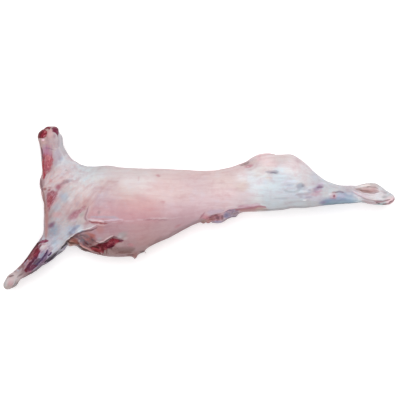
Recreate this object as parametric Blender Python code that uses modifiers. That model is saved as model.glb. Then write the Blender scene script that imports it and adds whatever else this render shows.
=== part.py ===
"""Raw sheep carcass: skinned, gutted, without head and feet, lying on its right side.

Metres, +Z up. +X runs from the chest to the hocks, +Y from the belly to the back, and the left
side of the animal faces up. The origin is on the surface it lies on, under the middle of its box.

The carcass is one piece of flesh, fat and bone, so it is one solid. Trunk, neck, legs and the
tissue at the belly are lofted bodies. A voxel remesh fuses them, fillets fill the creases between
them, the muscles are raised and the seams sunk, and the side that lies down is cut flat.
"""

import math

import bmesh
import bpy
import numpy as np

MM = 0.001

# ---------------------------------------------------------------- driving dimensions, millimetres
MID_HEIGHT = 96.0  # from the surface up to the plane that halves the animal, before centring
VOXEL = 5.0  # of the remesh that fuses the bodies
RING_POINTS = 36  # round each loft
RING_SPACING = 9.0  # along each loft
FILLET_ROUNDS = 40  # how far the creases between the bodies fill up
FILLET_PULL = 0.9  # share of the way to its neighbours that a crease rises each round
RELAX_ROUNDS = 2
RELAX_PULL = 0.5
SOLID_TRIANGLES = 11200
FACING_GAIN = 1.6  # relief fades where the surface turns away; more keeps it further round
RUN_OUT = 40.0  # over which a hollow along the middle plane runs out at each end

# Trunk: place along the body, back line, belly line, half width, and how far the widest line
# stands above (+) or below (-) the middle as a share of the half depth.
TRUNK = [
    (-477, 78, -40, 20, 0.0),
    (-464, 104, -76, 44, 0.0),
    (-440, 119, -96, 66, -0.05),
    (-400, 129, -113, 82, -0.10),
    (-350, 128, -133, 94, -0.10),
    (-295, 128.5, -149, 101, -0.05),
    (-235, 125, -152, 105, 0.0),
    (-185, 122, -143, 106, 0.02),
    (-145, 121, -117, 103, 0.05),
    (-95, 120, -96, 97, 0.10),
    (-45, 117, -69, 90, 0.15),
    (5, 114, -44, 84, 0.18),
    (55, 116, -24, 83, 0.15),
    (105, 128, -16, 88, 0.10),
    (150, 144, -13, 95, 0.0),
    (190, 156, -12, 97, -0.05),
    (228, 154, -8, 82, -0.05),
    (256, 128, 14, 48, 0.0),
]
TRUNK_SQUARENESS = 2.25  # 2 is an ellipse, more is boxier

# Limbs: x, y, half depth in the side view, half thickness across, and the place across from the
# middle plane. The upper foreleg and hind leg sag a little; the lower ones lie near the surface.
NECK = [
    (-388, 30, 70, 54, 0),
    (-409, 85, 68, 52, 0),
    (-417, 118, 66, 48, -2),
    (-431, 138, 54, 44, -4),
    (-443, 162, 43, 40, -7),
    (-452, 190, 38, 37, -10),
    (-456.5, 214, 38, 35, -13),
    (-458, 229, 35, 33, -15),
    (-457.5, 241, 28.5, 30, -16),
    (-454, 250, 18, 23, -17),
]
NECK_WAY = (0.0, 1.0)  # its sections are level
BREAST = [(-458, 108, 18, 24, 0), (-470, 76, 20, 36, 0), (-462, 42, 16, 28, 0)]
LEFT_FORELEG = [
    (-352, 78, 40, 16, 54),
    (-374, 44, 68, 27, 57),
    (-398, 14, 86, 34, 60),
    (-423, -6, 84, 38, 61),
    (-432, -40, 59, 37, 60),
    (-441, -73, 46.5, 34, 56),
    (-450.5, -106, 36.5, 30, 51),
    (-470.5, -128.5, 32, 28, 47),
    (-491, -150.5, 28.5, 25, 43),
    (-509.5, -173.5, 26, 21.5, 39),
    (-533, -192.5, 20.8, 18, 35),
    (-558, -211, 18.6, 17, 32),
    (-570, -220.5, 19.5, 18, 31),
    (-580, -232.5, 17, 17.5, 30.5),
    (-590, -241.5, 13, 13, 30),
    (-595, -246, 7, 8, 30),
]
FORELEG_WAY = (-0.730, -0.684)  # its sections are square to this line in the side view
LEFT_HIND_LEG = [
    (118, 82, 20, 14, 40),
    (160, 80, 62, 40, 46),
    (205, 77, 84, 53, 48),
    (248, 77, 85, 54, 49),
    (285, 80, 82, 50, 48),
    (303, 75, 77, 47, 48),
    (321, 68, 70, 43, 47),
    (340, 60, 60, 37, 46),
    (358, 52.8, 50.6, 31.5, 44),
    (376, 47.8, 42.7, 27.5, 42),
    (394, 44.3, 36.2, 24, 41),
    (413, 41.4, 32.2, 21.5, 39),
    (435, 40.2, 29.3, 19.5, 37),
    (467, 40.4, 28.3, 17.5, 35),
    (504, 43.9, 28.8, 18.5, 33),
    (522, 43.9, 32.8, 20, 32),
    (541, 40.4, 32.3, 20.5, 31),
    (559, 34.9, 26.8, 19, 31),
    (578, 29, 20.9, 17, 31),
    (594, 28, 12, 12, 31),
    (599, 28, 7, 8, 31),
]
HIND_LEG_WAY = (1.0, 0.0)  # its sections are upright in the side view
# The right legs are the left ones in the middle plane, with their free ends nearer the surface.
RIGHT_LEG_DROP = 42.0  # at the knee and the hock
# How far the right foreleg stands out behind the left one, square to its line, at each station.
RIGHT_FORELEG_SHIFT = [0, 0, 0, 0, 2, 6, 8, 6, 3, 0, -3, -2, 0, 0, 0, 0]

# Loose tissue: the same five numbers.
COD_FAT = [
    (36, -30, 10, 12, 8),
    (56, -38, 12, 18, 8),
    (80, -31, 12, 20, 10),
    (104, -20, 10, 16, 10),
    (130, -10, 6, 8, 8),
]
COD_RAG = [(4, -32, 10, 9, 4), (18, -40, 9, 12, 4), (36, -40, 9, 10, 4)]
BELLY_TAGS = [
    [(-206, -136, 11, 8, 4), (-198, -150, 10, 7, 6), (-193, -159, 7, 6, 7)],
    [(-184, -128, 9, 7, 0), (-170, -138, 7, 6, 2), (-160, -145, 5, 5, 3)],
]
TAIL_STUMP = [
    (130, 112, 14, 14, 0),
    (160, 134, 16, 17, 0),
    (186, 151, 14, 16, 0),
    (212, 156, 13, 14, 0),
    (240, 154, 9, 10, 0),
]

# Muscles that swell, on both sides: x, y, half length, half width, turn in degrees, height.
SWELLS = [
    (-392, 10, 88, 46, 68, 7),  # shoulder blade and its muscles
    (-432, 92, 46, 30, 100, 5),  # root of the neck
    (-300, 20, 120, 70, 0, 3),  # ribs
    (190, 70, 60, 62, 0, 5),  # rump
    (262, 96, 62, 40, -25, 7),  # ham
    (330, 38, 60, 20, -8, 3),  # shin
    (-498, -150, 52, 13, 45, 3),  # foreleg's extensor
    (532, 64, 26, 11, -15, 4),  # heel bone
]
# Seams and hollows, on both sides: points, half width, depth.
GROOVES = [
    ([(-486, 6), (-462, 14), (-440, 44), (-408, 66)], 12, 5),  # neck against shoulder
    ([(-352, 36), (-352, -12), (-336, -46)], 12, 5),  # behind the shoulder
    ([(-404, -118), (-388, -108), (-362, -97), (-326, -95)], 13, 13),  # armpit
    ([(140, 158), (156, 132), (168, 112)], 10, 5),  # loin against rump
    ([(212, 112), (228, 108), (246, 107)], 8, 6),  # dimple over the hip joint
    ([(292, 66), (318, 58), (344, 60)], 11, 5),  # back of the knee
    ([(430, 60), (470, 58), (505, 62), (548, 56)], 6, 6),  # in front of the hamstring
    ([(120, 2), (170, 10), (225, 6)], 9, 4),  # flank against thigh
    ([(-520, -196), (-498, -172), (-470, -146)], 6, 4),  # between the foreleg's muscles
]
# The cut in the brisket, which shows on the left side only.
GASH = ([(-236, -99), (-262, -101), (-284, -119), (-304, -134), (-330, -131)], 14, 21)
# The edge of the skin that the cut lifts: the same three numbers, with its height.
FLAP = ([(-330, -112), (-306, -108), (-284, -97), (-262, -80)], 6, 5)
# The hollow along the spine, between the two loins: the same numbers as the cut below.
SPINE_HOLLOW = {"from_x": -330.0, "to_x": 150.0, "depth": 3.5, "half_width": 9.0}
# The cut along the belly, from brisket to cod: depth into the body and half width.
BELLY_CUT = {"from_x": -345.0, "to_x": -10.0, "depth": 15.0, "half_width": 6.5}

SKIN = {"colour": (0.60, 0.46, 0.47), "roughness": 0.38}


def clear_scene():
    for obj in list(bpy.data.objects):
        bpy.data.objects.remove(obj)


def flesh_material():
    material = bpy.data.materials.new("raw_flesh")
    material.use_nodes = True
    shader = material.node_tree.nodes["Principled BSDF"]
    shader.inputs["Base Color"].default_value = (*SKIN["colour"], 1.0)
    shader.inputs["Roughness"].default_value = SKIN["roughness"]
    shader.inputs["Metallic"].default_value = 0.0
    return material


# ------------------------------------------------------------------------------------------ lofts
def smooth_through(rows, spacing):
    """Rows of numbers on a smooth curve through the given rows, about `spacing` apart in x and y."""
    rows = np.array(rows, float)
    steps = np.linalg.norm(np.diff(rows[:, :2], axis=0), axis=1)
    along = np.concatenate([[0.0], np.cumsum(steps)])
    slope = np.gradient(rows, along, axis=0)
    at = np.linspace(0.0, along[-1], max(4, round(along[-1] / spacing)))
    k = np.clip(np.searchsorted(along, at, side="right") - 1, 0, len(rows) - 2)
    width = (along[k + 1] - along[k])[:, None]
    t = ((at - along[k]) / width[:, 0])[:, None]
    return (
        (2 * t**3 - 3 * t**2 + 1) * rows[k]
        + (t**3 - 2 * t**2 + t) * width * slope[k]
        + (-2 * t**3 + 3 * t**2) * rows[k + 1]
        + (t**3 - t**2) * width * slope[k + 1]
    )


def superellipse(angle, power):
    """Unit depth and width round a section that is an ellipse at power 2 and boxier above it."""
    depth, width = np.sin(angle), np.cos(angle)
    return (
        np.sign(depth) * np.abs(depth) ** (2 / power),
        np.sign(width) * np.abs(width) ** (2 / power),
    )


def add_loft(bm, rings):
    """Skins the rings, arrays of points in millimetres, and closes both ends."""
    made = [[bm.verts.new(point * MM) for point in ring] for ring in rings]
    count = len(made[0])
    for ring, following in zip(made, made[1:]):
        for i in range(count):
            j = (i + 1) % count
            bm.faces.new((ring[i], ring[j], following[j], following[i]))
    bm.faces.new(reversed(made[0]))
    bm.faces.new(made[-1])


def trunk_rings():
    angle = np.linspace(0.0, 2 * math.pi, RING_POINTS, endpoint=False)
    depth, width = superellipse(angle, TRUNK_SQUARENESS)
    rings = []
    for x, back, belly, half_width, widest in smooth_through(TRUNK, RING_SPACING):
        middle, half_depth = (back + belly) / 2, (back - belly) / 2
        # The widest line moves up or down while back and belly stay where they are.
        y = middle + half_depth * (depth + widest * (1 - depth**2))
        rings.append(np.column_stack([np.full_like(y, x), y, half_width * width]))
    return rings


def limb_rings(stations, fixed_way=None):
    """Elliptical sections square to one way in the side view, or else to the limb's own line."""
    angle = np.linspace(0.0, 2 * math.pi, RING_POINTS, endpoint=False)
    path = smooth_through(stations, RING_SPACING)
    way = np.gradient(path[:, :2], axis=0)
    if fixed_way:
        way[:] = fixed_way
    way /= np.linalg.norm(way, axis=1)[:, None]
    rings = []
    for (x, y, half_depth, half_thick, across), (dx, dy) in zip(path, way):
        out = half_depth * np.cos(angle)
        rings.append(
            np.column_stack(
                [x - dy * out, y + dx * out, across + half_thick * np.sin(angle)]
            )
        )
    return rings


def right_leg(stations, way, shifts=None):
    """The leg mirrored in the middle plane, sinking towards its free end and shifted square to its way."""
    count = len(stations) - 1
    made = []
    for i, (x, y, half_depth, half_thick, across) in enumerate(stations):
        drop = across + RIGHT_LEG_DROP * (i / count) ** 1.5
        shift = shifts[i] if shifts else 0.0
        made.append((x - way[1] * shift, y + way[0] * shift, half_depth, half_thick, -drop))
    return made


def fused_bodies():
    """One closed mesh of all the lofts, fused by a voxel remesh."""
    bm = bmesh.new()
    add_loft(bm, trunk_rings())
    limbs = [
        (NECK, NECK_WAY),
        (LEFT_FORELEG, FORELEG_WAY),
        (LEFT_HIND_LEG, HIND_LEG_WAY),
        (right_leg(LEFT_FORELEG, FORELEG_WAY, RIGHT_FORELEG_SHIFT), FORELEG_WAY),
        (right_leg(LEFT_HIND_LEG, HIND_LEG_WAY), HIND_LEG_WAY),
    ]
    for stations, way in limbs:
        add_loft(bm, limb_rings(stations, way))
    for stations in (BREAST, COD_FAT, COD_RAG, *BELLY_TAGS, TAIL_STUMP):
        add_loft(bm, limb_rings(stations))
    bmesh.ops.recalc_face_normals(bm, faces=bm.faces)
    mesh = bpy.data.meshes.new("lofts")
    bm.to_mesh(mesh)
    bm.free()
    return with_modifier(mesh, "REMESH", mode="VOXEL", voxel_size=VOXEL * MM)


def with_modifier(mesh, kind, **settings):
    """The mesh as one modifier leaves it, as a new mesh."""
    helper = bpy.data.objects.new("helper", mesh)
    bpy.context.scene.collection.objects.link(helper)
    modifier = helper.modifiers.new(kind.title(), kind)
    for name, value in settings.items():
        setattr(modifier, name, value)
    evaluated = helper.evaluated_get(bpy.context.evaluated_depsgraph_get())
    made = bpy.data.meshes.new_from_object(evaluated)
    bpy.data.objects.remove(helper)
    return made


# -------------------------------------------------------------------------------- sculpted relief
def points_of(mesh):
    points = np.empty(len(mesh.vertices) * 3, np.float32)
    mesh.vertices.foreach_get("co", points)
    return points.reshape(-1, 3).astype(float) / MM


def put_points(mesh, points):
    mesh.vertices.foreach_set("co", (points * MM).astype(np.float32).ravel())
    mesh.update()


def normals_of(mesh):
    normals = np.empty(len(mesh.vertices) * 3, np.float32)
    mesh.vertices.foreach_get("normal", normals)
    return normals.reshape(-1, 3).astype(float)


def edges_of(mesh):
    edges = np.empty(len(mesh.edges) * 2, np.int32)
    mesh.edges.foreach_get("vertices", edges)
    return edges.reshape(-1, 2)


def neighbour_mean(values, edges):
    """The mean over each vertex's neighbours, of one column or several."""
    ends, others = (
        np.concatenate([edges[:, 0], edges[:, 1]]),
        np.concatenate([edges[:, 1], edges[:, 0]]),
    )
    count = np.maximum(np.bincount(ends, minlength=len(values)), 1)
    columns = [
        np.bincount(ends, weights=column[others], minlength=len(values)) / count
        for column in values.T
    ]
    return np.column_stack(columns)


def fill_creases(mesh):
    """Raises the vertices of hollow creases towards their neighbours, so that limbs grow out of the trunk."""
    edges = edges_of(mesh)
    for _ in range(FILLET_ROUNDS):
        points, normals = points_of(mesh), normals_of(mesh)
        pull = ((neighbour_mean(points, edges) - points) * normals).sum(axis=1)
        rise = FILLET_PULL * np.maximum(pull, 0.0)
        put_points(mesh, points + normals * rise[:, None])


def relax(mesh):
    edges = edges_of(mesh)
    for _ in range(RELAX_ROUNDS):
        points = points_of(mesh)
        put_points(mesh, points + RELAX_PULL * (neighbour_mean(points, edges) - points))


def bell(distance):
    """1 at the middle, a quarter at distance 1 and 0 well past it."""
    return 0.25 ** (distance**2)


def to_line(points, line):
    """Distance in the side view from each point to a line of straight runs, and where along the
    line, from 0 to 1, its nearest place is."""
    line = np.array(line, float)
    runs = np.diff(line, axis=0)
    lengths = np.hypot(runs[:, 0], runs[:, 1])
    nearest, place = np.full(len(points), np.inf), np.zeros(len(points))
    for a, run, length, before in zip(line, runs, lengths, np.cumsum(lengths) - lengths):
        share = np.clip((points[:, :2] - a) @ run / length**2, 0.0, 1.0)
        gap = points[:, :2] - a - share[:, None] * run
        distance = np.hypot(gap[:, 0], gap[:, 1])
        closer = distance < nearest
        nearest[closer] = distance[closer]
        place[closer] = (before + share * length)[closer] / lengths.sum()
    return nearest, place


def seam(points, line, half_width, depth):
    """The depth of a seam that is deepest halfway and runs out at both ends."""
    distance, place = to_line(points, line)
    full = np.minimum(1.0, 0.25 + 1.1 * np.sin(math.pi * place))
    return depth * full * bell(distance / half_width / (0.5 + 0.5 * full))


def sculpt(mesh):
    """Raises the muscles and sinks the seams. Each works on the outer faces of both sides."""
    points, normals = points_of(mesh), normals_of(mesh)
    outer = np.sign(points[:, 2]) * normals[:, 2]  # 1 where a side faces straight out
    facing = np.clip(outer * FACING_GAIN, 0.0, 1.0)
    left = facing * (points[:, 2] > 0)
    lift = np.zeros(len(points))
    for x, y, half_length, half_width, turn, height in SWELLS:
        c, s = math.cos(math.radians(turn)), math.sin(math.radians(turn))
        dx, dy = points[:, 0] - x, points[:, 1] - y
        along, across = (dx * c + dy * s) / half_length, (dy * c - dx * s) / half_width
        lift += height * bell(np.hypot(along, across)) * facing
    for line, half_width, depth in GROOVES:
        lift -= seam(points, line, half_width, depth) * facing
    lift -= seam(points, *GASH) * left
    lift += seam(points, *FLAP) * left
    lift -= midline_hollow(points, -normals[:, 1], BELLY_CUT)
    lift -= midline_hollow(points, normals[:, 1], SPINE_HOLLOW)
    put_points(mesh, points + normals * lift[:, None])


def midline_hollow(points, facing, hollow):
    """The depth of a hollow along the middle plane, where the surface faces its way."""
    x, across = points[:, 0], points[:, 2]
    inside = np.minimum(x - hollow["from_x"], hollow["to_x"] - x) / RUN_OUT
    along = np.sin(np.clip(inside, 0.0, 1.0) * math.pi / 2)
    turned = np.clip(facing * FACING_GAIN, 0.0, 1.0)
    return hollow["depth"] * bell(across / hollow["half_width"]) * along * turned


# --------------------------------------------------------------------------------- finished solid
def lay_down(mesh):
    """Cuts the side that lies on the surface flat and puts the middle of the box over the origin."""
    points = points_of(mesh)
    points[:, 2] += MID_HEIGHT
    put_points(mesh, points)
    bm = bmesh.new()
    bm.from_mesh(mesh)
    cut = bmesh.ops.bisect_plane(
        bm,
        geom=[*bm.verts, *bm.edges, *bm.faces],
        dist=1e-7,
        plane_co=(0, 0, 0),
        plane_no=(0, 0, 1),
        clear_inner=True,
    )
    rim = [edge for edge in cut["geom_cut"] if isinstance(edge, bmesh.types.BMEdge)]
    bmesh.ops.holes_fill(bm, edges=rim, sides=0)
    bmesh.ops.recalc_face_normals(bm, faces=bm.faces)
    bm.to_mesh(mesh)
    bm.free()
    points = points_of(mesh)
    middle = (points.min(axis=0) + points.max(axis=0)) / 2
    points[:, :2] -= middle[:2]
    put_points(mesh, points)


def carcass_mesh():
    mesh = fused_bodies()
    fill_creases(mesh)
    sculpt(mesh)
    relax(mesh)
    mesh.calc_loop_triangles()
    share = SOLID_TRIANGLES / len(mesh.loop_triangles)
    mesh = with_modifier(mesh, "DECIMATE", decimate_type="COLLAPSE", ratio=share)
    lay_down(mesh)
    return mesh


def main():
    clear_scene()
    mesh = carcass_mesh()
    mesh.name = "carcass"
    mesh.shade_smooth()
    mesh.materials.clear()
    mesh.materials.append(flesh_material())
    group = bpy.data.collections.new("sheep_carcass")
    bpy.context.scene.collection.children.link(group)
    group.objects.link(bpy.data.objects.new("carcass", mesh))


main()
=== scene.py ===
"""Raw sheep carcass lying on its right side.

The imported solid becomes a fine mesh. Cuts, folds and tendons are carved in, and fascia, fat and bare meat
are painted on.
"""

import math
from itertools import product

import bmesh
import bpy
import numpy as np
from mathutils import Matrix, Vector
from mathutils.bvhtree import BVHTree


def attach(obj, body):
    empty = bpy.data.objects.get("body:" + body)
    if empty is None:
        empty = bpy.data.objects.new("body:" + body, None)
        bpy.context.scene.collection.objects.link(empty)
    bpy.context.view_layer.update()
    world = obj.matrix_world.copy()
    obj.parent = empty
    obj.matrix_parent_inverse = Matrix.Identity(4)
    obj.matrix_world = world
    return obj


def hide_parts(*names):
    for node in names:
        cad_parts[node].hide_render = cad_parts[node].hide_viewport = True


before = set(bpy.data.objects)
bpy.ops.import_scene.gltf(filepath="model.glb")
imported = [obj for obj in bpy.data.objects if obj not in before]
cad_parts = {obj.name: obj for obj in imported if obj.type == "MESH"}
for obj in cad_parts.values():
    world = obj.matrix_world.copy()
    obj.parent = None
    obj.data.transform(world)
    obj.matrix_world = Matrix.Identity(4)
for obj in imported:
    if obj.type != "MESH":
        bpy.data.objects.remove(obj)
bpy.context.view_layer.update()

MM = 0.001
MID_HEIGHT = 96.0  # of the line between the left and right halves

# The photograph is 400 px square and looks straight down
CAMERA = Vector((3.1, 23.8, 6096.0))
SENSOR, LENS = 36.0, 175.9
PHOTO_MIDDLE = 200.0
PIXEL = 3.069  # millimetres that a pixel covers at MID_HEIGHT

# Mesh
VOXEL = 4.2 * MM
SMOOTH_ROUNDS = 44
SMOOTH_PULL, SMOOTH_PUSH = 0.5, -0.52
FACES_UP = 0.1  # least upward part of a face's normal that counts as facing up
# Where the mesh is twice as fine if it faces up: centre, radii, turn
FINE_AREAS = [
    ((-460, 200), (36, 58), 0),
    ((-462, 60), (34, 95), 0),
    ((-395, -10), (70, 40), 30),
    ((-330, -100), (110, 55), -12),
    ((-505, -165), (125, 36), 43),
    ((-300, -45), (75, 18), 0),
    ((45, -30), (55, 22), 15),
    ((130, 0), (80, 14), 5),
    ((390, 42), (95, 30), 0),
    ((530, 40), (80, 42), -5),
    ((235, 105), (45, 20), 0),
    ((150, 145), (35, 25), 20),
]

# In the tables below a place is a pixel of the photograph, as across and down from its top left corner.
# Radii, half widths, softness, grain and relief are millimetres, and turns are degrees against the clock.

# Colours are #RRGGBB. They were set by eye, and nearly all were then moved towards the photograph's by
# scripts that compared renders with it.

# Tints of the fascia: name, place, reach, turn, colour. The tints named _edge sit on the outline and most are
# darker there, partly painted shade.
AREAS = [
    ("neck_side", (50, 146), (28, 25), 0, "#B79692"),
    ("neck_rear", (60, 150), (15, 43), 0, "#D2D7DC"),
    ("neck_foot_front", (49, 165), (21, 21), 0, "#B7C0B9"),
    ("neck_foot_rear", (70, 162), (28, 21), 0, "#D2D1D6"),
    ("shoulder_point", (53, 177), (31, 18), 0, "#CCB4B3"),
    ("shoulder_crest", (66, 177), (25, 18), 0, "#DDC8C9"),
    ("withers", (84, 176), (43, 25), 0, "#CBD8DD"),
    ("withers_edge", (97, 167), (43, 15), 0, "#BFC3C4"),
    ("shoulder_front_mid", (65, 193), (25, 25), 0, "#B4AAA8"),
    ("blade", (82, 188), (34, 28), 0, "#D9D0CF"),
    ("blade_foot", (84, 200), (28, 18), 0, "#C6A4A1"),
    ("shoulder_low_front", (58, 212), (28, 25), 0, "#ADA2A5"),
    ("shoulder_low_rear", (71, 211), (25, 21), 0, "#C8B3B2"),
    ("arm_top", (66, 222), (31, 15), 0, "#BDB1AF"),
    ("arm_front_edge", (47, 220), (9, 49), 0, "#AA9092"),
    ("arm_blue_front", (55, 230), (18, 18), 0, "#748EA2"),
    ("arm_blue_rear", (73, 231), (18, 15), 0, "#AEC8DE"),
    ("arm_pale", (63, 234), (15, 25), 0, "#CCD2D8"),
    ("elbow", (54, 243), (28, 15), 0, "#C9CED9"),
    ("back_front", (112, 170), (49, 25), 0, "#D4C7C8"),
    ("back_mid", (140, 172), (55, 21), 0, "#CFC0C0"),
    ("back_rear", (170, 173), (55, 18), 0, "#D9C3C3"),
    ("saddle_pale_front", (130, 181), (25, 25), 0, "#E3D8D9"),
    ("saddle_pale_rear", (146, 181), (21, 25), 0, "#E5DBDB"),
    ("saddle_pink", (161, 188), (43, 28), 0, "#E3CBCA"),
    ("rib_behind_blade", (105, 190), (28, 28), 0, "#CBB2B5"),
    ("rib_lilac", (102, 199), (21, 18), 0, "#BBA5B0"),
    ("rib_upper", (122, 194), (37, 25), 0, "#D6C0BD"),
    ("rib_mid_front", (115, 206), (40, 25), 0, "#C3949A"),
    ("rib_salmon", (141, 205), (46, 25), 0, "#D2A7A8"),
    ("rib_low", (130, 216), (68, 18), 0, "#C5979E"),
    ("rib_low_front", (112, 229), (49, 18), 0, "#B39097"),
    ("rib_low_rear", (140, 231), (49, 21), 0, "#BE989B"),
    ("belly_front", (124, 247), (43, 18), 0, "#AC8F90"),
    ("belly_mid", (146, 241), (37, 18), 25, "#B58E8F"),
    ("belly_rear", (165, 228), (43, 21), 20, "#C0A0A4"),
    ("belly_end", (183, 220), (37, 18), 25, "#C19DA5"),
    ("flank_low", (194, 213), (28, 12), 15, "#D6B5BC"),
    ("flank", (180, 208), (46, 21), 0, "#D5B7BD"),
    ("flank_upper", (176, 195), (46, 25), 0, "#DEC4C4"),
    ("loin_front", (200, 185), (49, 28), 0, "#D8C0C3"),
    ("loin_edge", (195, 173), (55, 15), 0, "#D7BDBD"),
    ("loin_low", (204, 203), (43, 18), 0, "#E0C6CB"),
    ("loin_mid", (222, 182), (43, 25), 0, "#DEC9C7"),
    ("loin_rear", (225, 195), (37, 21), 0, "#E6CDD0"),
    ("loin_rear_edge", (232, 172), (25, 15), 0, "#D7C0C1"),
    ("tail_root", (256, 163), (15, 15), 0, "#D1BEC1"),
    ("rump_top", (266, 160), (25, 18), 0, "#E9D3D4"),
    ("rump_edge", (282, 158), (31, 12), 0, "#D7C9C9"),
    ("rump_rear_edge", (296, 163), (25, 18), 0, "#E6D6D9"),
    ("rump_face", (262, 171), (21, 15), 0, "#E6E2E0"),
    ("thigh_white", (257, 182), (31, 25), 0, "#E1E6EB"),
    ("thigh_blue_white", (271, 189), (25, 25), 0, "#D3E1E8"),
    ("thigh_mid", (285, 178), (31, 21), 0, "#D0DCE4"),
    ("thigh_top", (292, 171), (25, 18), 0, "#F0EDEE"),
    ("thigh_rear", (303, 170), (15, 21), 0, "#DDD5D9"),
    ("thigh_blue", (289, 190), (25, 18), 0, "#D1DBE5"),
    ("thigh_low", (270, 200), (43, 12), 0, "#C9CED4"),
    ("thigh_low_edge", (288, 204), (49, 9), 0, "#C3C7CC"),
    ("thigh_beige", (242, 186), (18, 15), 0, "#D9C7C7"),
    ("groin", (243, 198), (28, 18), 0, "#DECCD0"),
    ("stifle", (303, 180), (21, 18), 0, "#E5E4E5"),
    ("shank_root", (316, 181), (25, 18), 0, "#CCCAD2"),
    ("shank_mid", (330, 186), (28, 18), 0, "#D1D8DA"),
    ("shank_crest", (345, 187), (31, 9), 0, "#C1B9BF"),
    ("shank_blue", (344, 199), (40, 12), 0, "#8DA3BE"),
    ("shank_blue_front", (328, 202), (18, 7), 0, "#8393AB"),
    ("shank_blue_end", (357, 198), (12, 9), 0, "#F4FDFD"),
    ("hock_crest", (358, 185), (18, 9), 0, "#E2DBDB"),
    ("heel", (370, 184), (18, 8), 0, "#C5BCBA"),
    ("hock_face", (376, 195), (28, 12), 0, "#ECEBED"),
    ("hock_rear", (386, 194), (15, 15), 0, "#C6CED2"),
    ("hock_low", (370, 202), (31, 9), 0, "#AAC2C5"),
    ("hock_tip", (390, 200), (9, 9), 0, "#FADBE1"),
    ("foreleg_cream", (45, 247), (12, 9), 0, "#F8F5EF"),
    ("pastern", (18, 275), (15, 12), 0, "#C7B7B8"),
    ("knee", (10, 283), (18, 15), 0, "#B8A8A5"),
    ("foreleg_mid", (37, 259), (21, 21), 0, "#DBE0F8"),
    ("foreleg_low", (24, 271), (18, 12), 0, "#8B6668"),
    ("shank_root_low", (318, 198), (21, 9), 0, "#CCC8D2"),
    ("shank_root_edge", (313, 203), (21, 6), 0, "#BEBCBF"),
    ("shank_root_mid", (326, 194), (12, 9), 0, "#D8DFDE"),
    ("armpit_front", (72, 242), (9, 7), 0, "#D29179"),
    ("stifle_low", (257, 202), (18, 12), 0, "#EBEAEA"),
    ("loin_white", (241, 177), (15, 12), 0, "#EDE6E7"),
    ("blade_rear", (100, 181), (21, 15), 0, "#DFD9D2"),
    ("thigh_rear_top", (299, 161), (12, 9), 0, "#C1ADB3"),
]

# Where the outline is fuller or slimmer than the solid's: name, place, radii, turn, relief
SWELLS = [
    ("neck_top_front", (45, 128), (11, 7), -10, -2.6),
    ("neck_front", (38, 134), (7, 21), 0, 3.2),
    ("neck_notch", (60, 132), (8, 12), 0, -3.8),
    ("neck_rear", (64, 145), (7, 21), 0, -1.6),
    ("withers", (79, 164), (21, 9), -20, 3.4),
    ("back_front", (108, 167), (28, 9), 0, 2.6),
    ("thigh_rear", (306, 166), (21, 9), -35, 2),
    ("hock_front", (358, 187), (15, 8), 0, -2.6),
    ("heel_top", (378, 186), (21, 8), -30, 2.6),
    ("armpit_front", (69, 246), (10, 9), 0, 6.5),
    ("armpit_rear", (75, 246), (9, 7), -20, -3),
    ("foreleg_rear_1", (59, 254), (21, 8), 42, -3),
    ("foreleg_rear_2", (41, 268), (19, 9), 36, -4.6),
    ("foreleg_rear_3", (28, 276), (20, 8), 27, -1.6),
    ("foreleg_rear_4", (19, 282), (18, 8), 30, -4),
    ("cod_low", (226, 221), (18, 9), 20, -1.2),
    ("cod_end", (236, 217), (9, 7), 20, 3.6),
    ("chest_low", (43, 215), (8, 68), 0, -2.4),
    ("cod_tag_1", (203, 223), (5, 5), 0, 2.6),
    ("cod_tag_gap", (206, 223), (3, 5), 0, -2.4),
    ("cod_tag_2", (208, 222), (4, 4), 0, 2.2),
    ("cod_tag_gap_2", (211, 223), (3, 5), 0, -2.2),
    ("armpit_mid", (82, 251), (15, 7), -28, 3.8),
    ("tag_rear_tip", (145, 253), (5, 5), 0, 3),
    ("tag_front_tip", (136, 257), (6, 6), 0, 1.8),
]

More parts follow.
